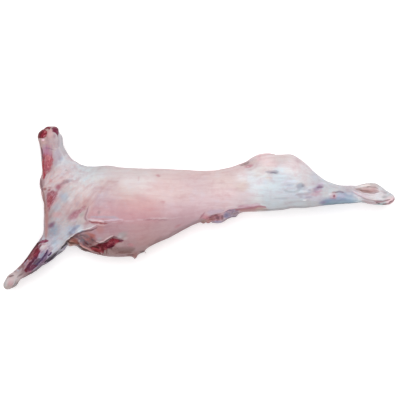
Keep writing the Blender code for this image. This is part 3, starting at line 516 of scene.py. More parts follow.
    ("web_blue_band", [(70.5, 233.5), (73, 230), (76.5, 227.5), (80, 226)], 5, "#97A0B5", 0.65, -0.8),
    ("web_white_band", [(75, 232), (79, 229.5), (84, 227.5)], 3.7, "#D5DADE", 0.6, 0.8),
    ("neck_purple_line", [(44.5, 148), (49, 148.5), (54, 149.5)], 2.1, "#90778A", 0.65, -0.5),
    ("arm_front_corner", [(42.5, 235), (41, 238.5), (40, 241)], 3.7, "#845E66", 0.8, 0),
    ("gash_bottom_edge", [(92.5, 253), (98, 254.5), (103.5, 255.5)], 2.5, "#7E4A40", 0.5, 0),
    # Darker along the neck's front rim, partly its own colour and partly painted shade
    ("neck_front_rim", [(39, 139), (40, 142.5), (40.5, 146.5)], 2.5, "#8C6265", 0.6, 0),
    # Painted shade along the lower rim of the thigh and the shank
    ("thigh_low_rim", [(258, 210), (268, 210), (276, 209), (288, 207.5), (304, 206.5),
        (318, 205.5)], 2.5, "#98989A", 0.4, 0),
    # Painted shadow on the far leg, in the crevice between the legs
    ("far_leg_crevice", [(67.5, 240), (65.5, 243), (63.5, 246), (61.5, 249.5)], 3.5, "#32202A", 0.92, 0),
    ("foreleg_rear_grey_low", [(27, 275), (24, 276.5), (20, 278.5)], 2.8, "#8E7E84", 0.7, 0),
    # Painted shade: a soft dark band along the belly's lower rim
    ("belly_rim", [(150, 246), (160, 240.5), (168, 237.5), (175, 233.5), (180, 230.5), (188, 227),
        (195, 223), (201, 220.5)], 8, "#6C5254", 0.3, 0),
    ("hock_recess_dark", [(359, 189), (364, 190), (370, 190.5)], 1.7, "#7A5E58", 0.75, -0.8),
    ("hock_recess_streak", [(366, 191), (372, 191), (377, 190.5)], 1.4, "#A88280", 0.7, -0.5),
    # Painted shade on the floor of the hock's recess
    ("hock_recess_floor", [(361, 192), (367, 192.5), (373, 193), (379, 192)], 1.8, "#8E6A6A", 0.8, -1.2),
]

# Bare meat, as outlines: name, places, softness of the edge, colour, relief
MEAT = [
    ("neck_cut_front", [(38, 131), (40.5, 127.5), (44, 127.5), (47, 131), (47, 134), (46, 136.5),
        (43, 137.5), (38, 138)], 3.1, "#882836", -1.2),
    ("neck_cut_rear", [(51.5, 128), (53.5, 125), (58, 125), (60, 130), (59, 135.5), (57.5, 134.5),
        (55, 133), (52.5, 131)], 3.1, "#7E344C", -1),
    ("neck_muscle", [(43.5, 154.5), (47.5, 154), (51.5, 156), (52.5, 160), (51.5, 165), (49.5, 169.5),
        (47.5, 172), (45.5, 174.5), (44.5, 178), (42.5, 178)], 14, "#A95561", -0.8),
    ("shoulder_patch", [(46, 192.5), (51, 191), (57, 191), (57, 195), (55, 200), (51.5, 205.5), (49, 211),
        (47.5, 211), (47, 202)], 7.5, "#A8707A", -1.2),
    ("gash", [(112.5, 238), (117.5, 239.5), (122.5, 241), (117.5, 243), (114.5, 245), (113.5, 247.5),
        (108.5, 249), (105, 250), (103, 253.5), (98.5, 253), (92, 251), (89, 247), (93.5, 246),
        (97.5, 245), (102.5, 244.5), (107.5, 242)], 4, "#95474F", -3),
    ("foreleg_muscle", [(40, 244), (37, 246.5), (33.5, 251.5), (30.5, 256.5), (29.5, 259.5), (32.5, 260),
        (36, 258.5), (38, 255.5), (39.5, 252), (40, 248.5)], 3.1, "#943F51", -0.8),
    ("foreleg_maroon", [(36.5, 257), (33.5, 258.5), (29.5, 262.5), (26, 266.5), (24, 270.5),
        (28.5, 271.5), (33, 270), (36.5, 267.5), (38.5, 265), (34.5, 264.5), (31.5, 265.5),
        (34, 262)], 3.1, "#734453", -0.6),
    ("foreleg_front_meat", [(39, 242.5), (36, 244), (32, 249.5), (28.5, 255), (26, 259.5), (29.5, 260.5),
        (31.5, 257), (34, 252.5), (38.5, 246.5)], 3.1, "#8D5058", -0.4),
]

# Bare meat, as lines: name, places, half width, colour, strength, relief
MEAT_LINES = [
    ("neck_cut_spot", [(48.5, 128), (50, 128)], 3.4, "#7E2634", 1, -0.8),
    ("neck_cut_tail", [(58, 131), (58.5, 134.5), (58, 137)], 1.8, "#823C54", 0.9, -0.6),
    ("neck_deep_red", [(42.5, 158), (43, 168), (44, 176.5)], 4, "#A53944", 0.95, -0.6),
    ("rose_streak", [(85.5, 206.5), (80.5, 210.5), (76, 214), (72, 216.5)], 7.5, "#B8818B", 0.52, -0.6),
    ("slit", [(89.5, 222), (94, 222.5), (100, 223), (107, 223.5)], 2.2, "#A36466", 0.86, -3.2),
    ("foreleg_top_streak", [(48, 241), (45.5, 241), (42.5, 241.5), (39.5, 242.5),
        (37.5, 244.5)], 6, "#8C485E", 0.92, -0.8),
    ("foreleg_front_edge", [(38.5, 242), (35, 246.5), (32, 250.5), (29, 255), (26.5, 259), (24, 262.5),
        (22, 265)], 4, "#7E3F4B", 0.95, 0),
    ("foreleg_maroon_strip", [(38, 255.5), (36.5, 257.5), (33.5, 260), (30, 263), (27.5, 266.5),
        (25, 270)], 3.1, "#633349", 0.9, -1.2),
    ("foreleg_maroon_tip", [(24.5, 270), (27.5, 271)], 4.5, "#6C2A36", 0.95, 0),
    ("foreleg_purple_line", [(47.5, 250), (46, 253), (44, 256.5), (41, 260.5), (37.5, 264), (34.5, 266.5),
        (31.5, 269)], 3.7, "#56415F", 0.92, -1.6),
    ("foreleg_purple_foot", [(34.5, 267), (31.5, 269), (29, 270.5)], 5, "#6B3D52", 0.9, 0),
    ("foreleg_purple_spot", [(51.5, 252), (50, 254), (48, 256)], 3.7, "#4E2856", 0.85, -0.8),
    ("gash_core", [(98, 245.5), (103.5, 245.5), (106.5, 243)], 4.5, "#802D3B", 1, -3),
    ("gash_low_purple", [(107.5, 247), (112.5, 247)], 3.7, "#511122", 0.95, -0.5),
    ("gash_tip_purple", [(117.5, 240), (123, 240.5)], 3.4, "#764250", 0.9, 0),
    ("gash_bright_low", [(92.5, 248.5), (95.5, 250), (98.5, 251.5)], 4.5, "#963A40", 0.75, 0.6),
    ("gash_bright_top", [(112.5, 240), (115, 241)], 4, "#A03A4C", 0.9, 0),
    ("gash_dark_mid", [(101.5, 246.5), (102.5, 250.5)], 3.1, "#702B30", 0.9, -1),
    ("gash_streak", [(108, 245.5), (112.5, 241.5)], 2.8, "#974751", 0.85, 0.9),
    ("neck_cut_edge", [(39, 138), (39.5, 133.5), (41, 130.5)], 3.1, "#702630", 0.95, 0),
    ("neck_cut_light", [(44.5, 131.5), (47, 131)], 2.5, "#B25860", 0.9, 0.4),
    ("neck_cut_light_low", [(43.5, 136), (46, 135)], 2.1, "#B4626D", 0.8, 0.4),
    ("gash_streak_2", [(112.5, 243.5), (115.5, 240.5)], 1.8, "#A1565F", 0.8, 0.6),
    ("foreleg_dark_strand_1", [(39.5, 246.5), (36.5, 250.5), (34, 255)], 2.1, "#672631", 0.9, -0.8),
    ("foreleg_light_strand_2", [(33, 253), (31, 256.5), (29.5, 259.5)], 1.2, "#8C5757", 0.6, 0.6),
    ("neck_muscle_light", [(47.5, 157.5), (49.5, 161), (49, 165)], 5.5, "#C5787E", 0.8, 0.3),
    ("shoulder_patch_core", [(50, 197.5), (49.5, 202), (49, 206.5)], 5.5, "#AD656D", 0.6, 0),
    ("foreleg_maroon_strand_2", [(33.5, 264.5), (30.5, 267.5), (27.5, 270.5)], 2.5, "#7A475A", 0.85, 0.5),
    ("gash_red_top", [(109.5, 240.5), (113.5, 239.5), (117.5, 241)], 3.1, "#8C3240", 0.8, 0),
    ("gash_dark_strand_1", [(90.5, 247.5), (94.5, 247.5), (98.5, 248.5)], 1.8, "#5B2526", 0.85, -0.8),
    ("gash_dark_strand_2", [(94.5, 251.5), (98.5, 252.5), (101, 254)], 1.8, "#6C0E11", 0.85, -0.6),
    ("gash_dark_strand_3", [(106, 247.5), (110, 245.5), (113.5, 243.5)], 1.8, "#782C3C", 0.8, -0.6),
    ("foreleg_bright_core", [(37.5, 250.5), (36, 253), (34.5, 255.5)], 2.5, "#803240", 0.9, 0),
    ("foreleg_dark_strand_2", [(40.5, 250.5), (38.5, 253.5), (36.5, 256.5)], 1.8, "#792F43", 0.9, -0.6),
    ("foreleg_upper_mauve", [(41, 244.5), (39, 247)], 3.4, "#7F515B", 0.9, 0),
    ("neck_muscle_dark", [(49, 162), (49.5, 165)], 3.1, "#B8636B", 0.8, -0.3),
    ("foreleg_front_dark", [(38.5, 242), (34.5, 247), (31, 251.5), (27.5, 256.5),
        (25, 260.5)], 2.1, "#4C2428", 0.7, 0),
]

# Marks that go all round a limb, that reach deep into a hollow, and that the underside doesn't repeat
ALL_ROUND = (
    ("foreleg", "shin", "pastern", "knee", "shank", "neck_mottle", "chest_front")
    + ("hock_low", "hock_seam", "hock_tip", "hock_red", "hock_strands")
)
DEEP = ("armpit", "gash_foot", "cod", "web", "leg_rear_dark")
LEFT_ONLY = (
    ("gash", "slit", "armpit", "web", "crease", "saddle", "rib_spot", "side_", "tissue", "belly", "tag")
    + ("shank_spot", "shoulder_red", "shoulder_dot")
)

# The cut end of the neck. Its rings end at these shares of the radius.
NECK_END, NECK_RADIUS = (-458.0, 250.0, 79.0), 34.0
MARROW_EDGE, BONE_EDGE, MUSCLE_START, MUSCLE_EDGE = (0.08, 0.16), (0.26, 0.36), (0.30, 0.36), (0.86, 0.98)
BONE_COLOUR, MUSCLE_COLOUR, RIM_COLOUR = "#D9CBC8", "#7E2635", "#CDB4B8"

# Where no mark says otherwise
MEAT_COLOUR, SEAM_COLOUR, SEAM_STRENGTH = "#9C4652", "#C8B2B2", 0.4

# How much less of each primary the sides and the belly side show than the top
SIDE_SHADE = np.array([0.16, 0.22, 0.21])
UNDER_SHADE = np.array([0.27, 0.35, 0.35])

# Heights: of the lowest place a mark is seen at, the far leg's top, and the near leg's lowest meat
UNDERSIDE, FAR_LEG_TOP, NEAR_LEG_FOOT = 20.0, 100.0, 78.0
# How much further than its lowest place a mark runs down, and deep and far ones
RUN_DOWN, RUN_DEEP, RUN_FAR = 4, 25, 12
# That place is looked for around the mark's own, at this share of its larger radius
PATCH_SPREAD, SPOT_SPREAD = 0.8, 0.6

# Where a mark's edge begins and ends, as shares of its size, and how much the ragged grain moves it
PATCH_EDGE, PATCH_RAG = (0.55, 1.15), 0.25
SPOT_EDGE, SPOT_RAG = (0.3, 1.4), 0.32
LINE_EDGE, LINE_RAG = (0.35, 1.5), 0.3
# A line's ends are this share of its width, and taper over this share of its length
LINE_TIP, LINE_TAPER = 0.45, 0.18

# Noise, as layers of lumps' size, height and seed: how far marks stray from their places, how uneven the
# surface is, and how ragged the marks' edges are
STRAY = ((26.0, 1.5, 0), (8.0, 0.8, 1))
UNEVEN = ((34.0, 0.7, 31), (13.0, 0.35, 32))
RAGGED = ((9.0, 0.6, 41), (4.5, 0.5, 42))
# Seeds to start from: for straying across and up, for the first patch, and for a patch's finer lumps
ACROSS_SEED, UP_SEED, PATCH_SEED, FINER_SEED = 11, 21, 60, 30
GRAIN_STRETCH = 3.5
SEAM_DEPTH = 1.2

# Which way the surface is streaked: name, direction in degrees
WAYS = {"on_neck": 90, "on_foreleg": 43, "on_shoulder": 52}
# Where the neck, the foreleg and the shoulder begin and end
NECK_FOOT, NECK_REAR = (105, 150), (-400, -370)
FORELEG_TOP, FORELEG_FADE = (-440, -60), 35
SHOULDER = ((-400, 40), (105, 125), 0)

# Where the surface is coarser and more streaked: centre, radii, turn, how much
COARSE_AREAS = [(*area, 1.0) for area in FINE_AREAS[:8]] + [
    ((-385, 50), (115, 130), 0, 1.0),
    ((450, 45), (180, 50), 0, 0.7),
    ((49, 61), (150, 60), 0, 0.4),
    ((255, 79), (110, 80), 0, 0.55),
    ((242, 147), (110, 28), 0, 0.6),
]


def linear(colour):
    """The scene's linear values of a #RRGGBB colour."""
    parts = [int(colour[i : i + 2], 16) / 255 for i in (1, 3, 5)]
    return np.array([c / 12.92 if c <= 0.04045 else ((c + 0.055) / 1.055) ** 2.4 for c in parts])


def step(value, low, high):
    """0 below low, 1 above high, smooth between."""
    t = np.clip((value - low) / (high - low), 0.0, 1.0)
    return t * t * (3 - 2 * t)


def lumps(points, size, seed):
    """Smooth noise from -1 to 1, with lumps about size across."""
    lattice = np.random.default_rng(seed).uniform(-1.0, 1.0, (32, 32, 32))
    cell = points / size + 1000.0
    corner = np.floor(cell).astype(int)
    t = cell - corner
    t = t * t * (3 - 2 * t)
    total = np.zeros(len(points))
    for offset in product((0, 1), repeat=3):
        share = np.prod(np.where(offset, t, 1 - t), axis=1)
        total += share * lattice[tuple(((corner + offset) % 32).T)]
    return total


def noise(points, layers, seed=0):
    """Layers of (size, height, seed) added up."""
    return sum(height * lumps(points, size, seed + own) for size, height, own in layers)


def turned(x, y, centre, turn):
    """Coordinates from centre, along axes turned by that many degrees."""
    c, s = math.cos(math.radians(turn)), math.sin(math.radians(turn))
    dx, dy = x - centre[0], y - centre[1]
    return dx * c + dy * s, dy * c - dx * s


def reach(x, y, centre, radii, turn):
    """Distance from centre, where 1 is the ellipse."""
    across, up = turned(x, y, centre, turn)
    return np.hypot(across / radii[0], up / radii[1])


def line_distance(x, y, points):
    """Distance to a broken line, and how far along it the nearest point is, from 0 to 1."""
    best, place = np.full(len(x), 1e9), np.zeros(len(x))
    lengths = [math.dist(a, b) for a, b in zip(points, points[1:])]
    done = 0.0
    for (a, b), length in zip(zip(points, points[1:]), lengths):
        ux, uy = (b[0] - a[0]) / length, (b[1] - a[1]) / length
        t = np.clip((x - a[0]) * ux + (y - a[1]) * uy, 0.0, length)
        gap = np.hypot(x - a[0] - t * ux, y - a[1] - t * uy)
        closer = gap < best
        best = np.where(closer, gap, best)
        place = np.where(closer, (done + t) / sum(lengths), place)
        done += length
    return best, place


def inside_depth(x, y, outline):
    """Distance to a closed outline, above 0 inside it."""
    inside = np.zeros(len(x), bool)
    ring = outline + outline[:1]
    for (ax, ay), (bx, by) in zip(ring, ring[1:]):
        if ay != by:
            crosses = (ay > y) != (by > y)
            inside ^= crosses & (x < (bx - ax) * (y - ay) / (by - ay) + ax)
    gap, _ = line_distance(x, y, ring)
    return np.where(inside, gap, -gap)


# ---------------------------------------------------------------- mesh


def fine_copy(node):
    """The CAD node as a closed mesh of small even quads, halved in the fine areas."""
    shell = node.data.copy()
    work = bmesh.new()
    work.from_mesh(shell)
    bmesh.ops.remove_doubles(work, verts=work.verts, dist=1e-5)
    work.to_mesh(shell)
    work.free()
    shell.materials.clear()
    piece = bpy.data.objects.new("carcass_flesh", shell)
    bpy.context.scene.collection.objects.link(piece)
    remesh = piece.modifiers.new("even_quads", "REMESH")
    remesh.mode = "VOXEL"
    remesh.voxel_size = VOXEL
    done = bpy.data.meshes.new_from_object(piece.evaluated_get(bpy.context.evaluated_depsgraph_get()))
    piece.modifiers.clear()
    piece.data = done

    work = bmesh.new()
    work.from_mesh(done)
    place = np.array([v.co for v in work.verts]) / MM
    work.normal_update()
    up = np.array([v.normal.z for v in work.verts])
    fine = np.zeros(len(place), bool)
    for centre, radii, turn in FINE_AREAS:
        fine |= (reach(place[:, 0], place[:, 1], centre, radii, turn) < 1) & (up > FACES_UP)
    edges = [e for e in work.edges if fine[e.verts[0].index] and fine[e.verts[1].index]]
    bmesh.ops.subdivide_edges(work, edges=edges, cuts=1, use_grid_fill=True)
    work.to_mesh(done)
    work.free()
    return piece


def values_of(items, key, width, kind=np.float32):
    """One row of width values for each of the mesh's items."""
    flat = np.empty(len(items) * width, kind)
    items.foreach_get(key, flat)
    return flat.reshape(-1, width)


def points_of(mesh):
    return values_of(mesh.vertices, "co", 3, float)


def set_points(mesh, points):
    mesh.vertices.foreach_set("co", points.ravel())
    mesh.update()


def pull_of(values, edges):
    """For every vertex, its neighbours' mean less its own value."""
    a, b = edges[:, 0], edges[:, 1]
    count = np.bincount(edges.ravel(), minlength=len(values))
    total = [
        np.bincount(a, column[b], len(values)) + np.bincount(b, column[a], len(values)) for column in values.T
    ]
    return np.stack(total, axis=1) / np.maximum(count, 1)[:, None] - values


def smoothed(points, edges, rounds):
    """The points with facets and steps taken out and the volume kept."""
    for _ in range(rounds):
        points = points + SMOOTH_PULL * pull_of(points, edges)
        points = points + SMOOTH_PUSH * pull_of(points, edges)
    return points


# ---------------------------------------------------------------- marks


class Sight:
    """What the photograph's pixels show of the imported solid, in millimetres."""

    def __init__(self, node):
        corners = [v.co / MM for v in node.data.vertices]
        self.solid = BVHTree.FromPolygons(corners, [p.vertices for p in node.data.polygons])

    def aim(self, across, down):
        """The pixel's point at MID_HEIGHT."""
        x = CAMERA.x + (across - PHOTO_MIDDLE) * PIXEL
        y = CAMERA.y + (PHOTO_MIDDLE - down) * PIXEL
        return Vector((x, y, MID_HEIGHT))

    def hit(self, across, down):
        """The point of the solid at that pixel, or None."""
        return self.solid.ray_cast(CAMERA, (self.aim(across, down) - CAMERA).normalized())[0]

    def place(self, pixel):
        """The place across and up of what that pixel shows."""
        return tuple((self.hit(*pixel) or self.aim(*pixel)).xy)

    def foot(self, name, pixels, spread):
        """The height down to which a mark runs: just below its lowest place, or 0 where it goes all round."""
        if name.startswith(ALL_ROUND):
            return 0.0
        s = spread / PIXEL
        around = ((0, 0), (s, 0), (-s, 0), (0, s), (0, -s))
        hits = [self.hit(across + i, down + j) for across, down in pixels for i, j in around]
        heights = [point.z for point in hits if point and point.z > UNDERSIDE]
        if name.startswith("far_"):
            return max(z for z in heights if z < FAR_LEG_TOP) + RUN_FAR
        if name.startswith("near_"):
            heights = [z for z in heights if z > NEAR_LEG_FOOT]
        run = RUN_DEEP if name.startswith(DEEP) else RUN_DOWN
        return max(1.0, min(heights, default=MID_HEIGHT) - run)

    def ellipses(self, rows, spread):
        """Rows of name, place, radii and turn, with the mark's foot added."""
        return [
            (name, self.place(at), radii, turn, self.foot(name, [at], spread * max(radii)), *rest)
            for name, at, radii, turn, *rest in rows
        ]

    def strokes(self, rows):
        """Rows of name, places and width, with the mark's foot added."""
        return [
            (name, [self.place(at) for at in places], width, self.foot(name, places, width), *rest)
            for name, places, width, *rest in rows
        ]


class Marks:
    """The tables' rows, with their places on the solid and how far down each mark runs."""

    def __init__(self, sight):
        self.areas = [(sight.place(at), *rest) for _, at, *rest in AREAS]
        self.swells = [(sight.place(at), *rest) for _, at, *rest in SWELLS]
        self.patches = sight.ellipses(PATCHWORK, PATCH_SPREAD)
        self.spots = sight.ellipses(SPOTS, SPOT_SPREAD)
        self.lines = sight.strokes(LINES)
        self.meat = sight.strokes(MEAT)
        self.meat_lines = sight.strokes(MEAT_LINES)


class Surface:
    """The mesh's points in millimetres, and how much each takes the marks of the sides."""

    def __init__(self, mesh, marks):
        self.mesh = mesh
        self.points = points_of(mesh) / MM
        self.normals = values_of(mesh.vertex_normals, "vector", 3).astype(float)
        x, y = self.points[:, 0], self.points[:, 1]
        self.x = x + noise(self.points, STRAY, ACROSS_SEED)
        self.y = y + noise(self.points, STRAY, UP_SEED)
        self.on = {
            "on_neck": step(y, *NECK_FOOT) * (1 - step(x, *NECK_REAR)),
            "on_foreleg": step(-turned(x, y, FORELEG_TOP, WAYS["on_foreleg"])[0], 0, FORELEG_FADE),
        }
        on_shoulder = 1 - step(reach(self.x, self.y, *SHOULDER), 0.7, 1.15)
        self.on["on_shoulder"] = on_shoulder * (1 - self.on["on_neck"] - self.on["on_foreleg"])
        self.ragged = sum(height * self.grain(size, seed) for size, height, seed in RAGGED)
        self.right = step(-self.normals[:, 2] + 0.2 * self.ragged, 0.5, 0.75)
        below_or_front = step(-self.normals[:, 1], 0.2, 0.6) + step(-self.normals[:, 0], 0.7, 0.9)
        near_middle = 1 - step(abs(self.points[:, 2] - MID_HEIGHT) + 3 * self.ragged, 2, 9)
        self.seam = near_middle * np.minimum(below_or_front, 1)
        self.patches = [
            (self.patch(*row[:5]), self.patch_tone(*row[5:8], seed=PATCH_SEED + i), *row[8:])
            for i, row in enumerate(marks.patches)
        ]

    def grain(self, size, seed):
        """Noise from -1 to 1 drawn out along the limbs."""
        total = self.drawn_out(0, GRAIN_STRETCH, size, seed) * (1 - sum(self.on.values()))
        for name, way in WAYS.items():
            total += self.drawn_out(way, GRAIN_STRETCH, size, seed) * self.on[name]
        return total

    def drawn_out(self, way, stretch, size, seed):
        """Noise from -1 to 1, stretched along that direction."""
        along, across = turned(self.points[:, 0], self.points[:, 1], (0, 0), way)
        return lumps(np.stack([along / stretch, across, self.points[:, 2]], axis=1), size, seed)

    def below(self, name, height):
        """How far each point is below the mark's height, or above it for a mark of the far legs.

        It is 0 on the underside, unless the mark is on the left only.
        """
        if name.startswith("far_"):
            return np.maximum(0.0, self.points[:, 2] - height)
        drop = np.maximum(0.0, height - self.points[:, 2] - 4 * self.ragged)
        return drop if name.startswith(LEFT_ONLY) else drop * (1 - self.right)

    def patch(self, name, centre, radii, turn, height):
        gap = np.hypot(reach(self.x, self.y, centre, radii, turn), self.below(name, height) / sum(radii))
        return 1 - step(gap + PATCH_RAG * self.ragged, *PATCH_EDGE)

    def spot(self, name, centre, radii, turn, height):
        drop = self.below(name, height) / (0.7 * sum(radii))
        gap = np.hypot(reach(self.x, self.y, centre, radii, turn), drop)
        return 1 - step(gap + SPOT_RAG * self.ragged, *SPOT_EDGE)

    def line(self, name, points, half_width, height):
        gap, along = line_distance(self.x, self.y, points)
        gap = np.hypot(gap, 0.5 * self.below(name, height))
        taper = LINE_TIP + (1 - LINE_TIP) * step(np.minimum(along, 1 - along), 0.0, LINE_TAPER)
        width = half_width * taper * (1 - LINE_RAG * self.ragged)
        return 1 - step(gap, LINE_EDGE[0] * width, LINE_EDGE[1] * width)

    def outline(self, name, points, soft, height):
        """Depth inside the outline over its softness, less what it tapers by below its height."""
        return (inside_depth(self.x, self.y, points) - 0.7 * self.below(name, height)) / soft

    def patch_tone(self, way, size, stretch, seed):
        """Which of the patchwork's colours each point has, from 0 to 1."""
        large = self.drawn_out(way, stretch, size, seed)
        small = self.drawn_out(way, stretch, size / 2.2, seed + FINER_SEED)
        return np.clip(0.5 + 0.75 * (0.8 * large + 0.35 * small), 0, 1)


def carve(surface, marks):
    """Moves the points along their normals by every feature's relief."""
    depth = np.zeros(len(surface.points))
    for centre, radii, turn, relief in marks.swells:
        depth += relief * (1 - step(reach(surface.x, surface.y, centre, radii, turn), *SPOT_EDGE))
    depth -= SEAM_DEPTH * surface.seam
    for name, centre, radii, turn, height, _, _, relief in marks.spots:
        depth += relief * surface.spot(name, centre, radii, turn, height)
    for name, points, half_width, height, _, _, relief in marks.lines + marks.meat_lines:
        depth += relief * surface.line(name, points, half_width, height)
    for name, outline, soft, height, _, relief in marks.meat:
        depth += relief * step(surface.outline(name, outline, soft, height), -1, 1)
    for mask, tone, _, _, relief in surface.patches:
        depth += relief * (2 * tone - 1) * mask
    depth += noise(surface.points, UNEVEN)
    surface.points += surface.normals * depth[:, None]
    surface.points[:, 2] = np.maximum(surface.points[:, 2], 0.0)


def blend(base, colour, share):
    """Lays the colour over the base by that share."""
    base += (linear(colour) - base) * share[:, None]


def fascia(surface, marks):
    """The skin's colour: overlapping tints, then mottled patches, spots and lines."""
    total, weight = np.zeros(surface.points.shape), np.zeros((len(surface.points), 1))
    for centre, radii, turn, colour in marks.areas:
        share = np.exp(-(reach(surface.x, surface.y, centre, radii, turn) ** 2))[:, None] + 1e-9
        total, weight = total + share * linear(colour), weight + share
    skin = total / weight
    for mask, tone, colours, strength, _ in surface.patches:
        palette = np.array([linear(c) for c in colours])
        place = tone * (len(palette) - 1)
        tint = np.stack([np.interp(place, range(len(palette)), column) for column in palette.T], axis=1)
        skin += (tint - skin) * (strength * mask)[:, None]
    for name, centre, radii, turn, height, colour, strength, _ in marks.spots:
        blend(skin, colour, strength * surface.spot(name, centre, radii, turn, height))
    for name, points, half_width, height, colour, strength, _ in marks.lines:
        blend(skin, colour, strength * surface.line(name, points, half_width, height))
    blend(skin, SEAM_COLOUR, SEAM_STRENGTH * surface.seam)
    return skin


def muscle(surface, marks):
    """The meat's colour, and how far it is bare."""
    meat = np.tile(linear(MEAT_COLOUR), (len(surface.points), 1))
    bare = np.zeros(len(meat))
    for name, outline, soft, height, colour, _ in marks.meat:
        depth = surface.outline(name, outline, soft, height)
        blend(meat, colour, step(depth, -3, -1))
        bare = np.maximum(bare, step(depth - 0.5 * surface.ragged, -1, 1))
    for name, points, half_width, height, colour, strength, _ in marks.meat_lines:
        gap, _ = line_distance(surface.x, surface.y, points)
        blend(meat, colour, 1 - step(gap, half_width, 1.8 * half_width))
        bare = np.maximum(bare, strength * surface.line(name, points, half_width, height))
    return meat, bare


def light_lost(normals):
    """The share of each primary that the sides and the belly side lack."""
    _, up_y, up_z = normals.T
    side = SIDE_SHADE * (1 - step(up_z, 0.0, 0.5))[:, None]
    under = UNDER_SHADE * (step(-up_y, 0.2, 0.7) * (1 - step(up_z, 0.25, 0.65)))[:, None]
    return np.maximum(side, under)


def neck_end(surface, skin, meat, bare):
    """Paints marrow, bone, muscle and rim on the cut end, and gives back how far the meat is bare."""
    offset = surface.points - np.array(NECK_END)
    gap = np.hypot(offset[:, 0], offset[:, 2]) / NECK_RADIUS + 0.12 * surface.ragged
    facing = step(surface.normals[:, 1], 0.6, 0.85) * step(offset[:, 1], -22.0, -12.0)
    rim = step(gap, *MUSCLE_EDGE)
    blend(meat, MUSCLE_COLOUR, facing)
    blend(skin, BONE_COLOUR, facing * (1 - step(gap, *BONE_EDGE)))
    blend(skin, MUSCLE_COLOUR, facing * (1 - step(gap, *MARROW_EDGE)))
    blend(skin, RIM_COLOUR, facing * rim)
    return np.maximum(bare * (1 - facing), facing * step(gap, *MUSCLE_START) * (1 - rim))


def painted(surface, marks):
    """The skin's colour, the meat's colour and how far the meat is bare, for every point."""
    skin = fascia(surface, marks)
    meat, bare = muscle(surface, marks)
    skin *= 1 - light_lost(surface.normals)
    bare = neck_end(surface, skin, meat, bare)
    return skin, meat, bare


def coarseness(surface):
    """How coarse and streaked the surface is, from 0 to 1."""
    coarse = np.zeros(len(surface.points))
    for centre, radii, turn, amount in COARSE_AREAS:
        inside = 1 - step(reach(surface.x, surface.y, centre, radii, turn), 0.7, 1.2)
        coarse = np.maximum(coarse, amount * inside)
    return coarse


def store_colour(mesh, name, values):
    made = mesh.attributes.new(name, "FLOAT_COLOR", "POINT")
    opaque = np.concatenate([values, np.ones((len(values), 1))], axis=1)
    made.data.foreach_set("color", opaque.astype(np.float32).ravel())


def store_share(mesh, name, values):
    made = mesh.attributes.new(name, "FLOAT", "POINT")
    made.data.foreach_set("value", values.astype(np.float32))


# ---------------------------------------------------------------- material


class Nodes:
    """Adds nodes to a material's tree."""

    def __init__(self, material):
        material.use_nodes = True
        self.tree = material.node_tree
        self.tree.nodes.clear()

    def add(self, kind, inputs=None, **settings):
        made = self.tree.nodes.new(kind)
        for key, value in settings.items():
            setattr(made, key, value)
        for key, value in (inputs or {}).items():
            if isinstance(value, bpy.types.NodeSocket):
                self.tree.links.new(value, made.inputs[key])
            else:
                made.inputs[key].default_value = value
        return made

    def attribute(self, name, output="Color"):
        return self.add("ShaderNodeAttribute", attribute_name=name).outputs[output]

    def noise(self, place, scale, detail=2.0, roughness=0.5, stretch=(1, 1, 1), turn=0.0):
        """Noise whose cells are stretched along the axes of a frame turned about Z by turn degrees."""
        at = self.add(
            "ShaderNodeMapping",
            {"Vector": place, "Rotation": (0, 0, math.radians(-turn))},
            vector_type="POINT",
        ).outputs["Vector"]
        at = self.add("ShaderNodeVectorMath", {0: at, 1: stretch}, operation="MULTIPLY").outputs["Vector"]
        return self.add(
            "ShaderNodeTexNoise", {"Vector": at, "Scale": scale, "Detail": detail, "Roughness": roughness}
        ).outputs["Fac"]

    def math(self, operation, a, b=0.0):
        return self.add("ShaderNodeMath", {0: a, 1: b}, operation=operation).outputs[0]

    def ramp(self, value, low, high, to_low=0.0, to_high=1.0):
        return self.add(
            "ShaderNodeMapRange",
            {"Value": value, "From Min": low, "From Max": high, "To Min": to_low, "To Max": to_high},
            interpolation_type="SMOOTHSTEP",
        ).outputs["Result"]

    def mix(self, factor, a, b, blend="MIX"):
        """Colours a and b mixed."""
        inputs = {0: factor, 6: a, 7: b}
        return self.add("ShaderNodeMix", inputs, data_type="RGBA", blend_type=blend).outputs[2]

    def principled(self, inputs):
        """The material's surface."""
        shader = self.add("ShaderNodeBsdfPrincipled", inputs)
        self.add("ShaderNodeOutputMaterial", {"Surface": shader.outputs["BSDF"]})


# What each pattern of the surface multiplies the colour by
STREAKS, FIBRES = (0.88, 0.78, 0.80), (1.09, 1.12, 1.12)
ROSY_CLOUDS, BLUE_CLOUDS = (0.93, 0.84, 0.86), (1.00, 1.06, 1.10)
DARK_STRANDS, PALE_STRANDS = (0.70, 0.55, 0.58, 1), (1.15, 1.25, 1.28, 1)
# The linear colour between the strands of bare meat
STRAND_GAPS = (0.55, 0.33, 0.37, 1)


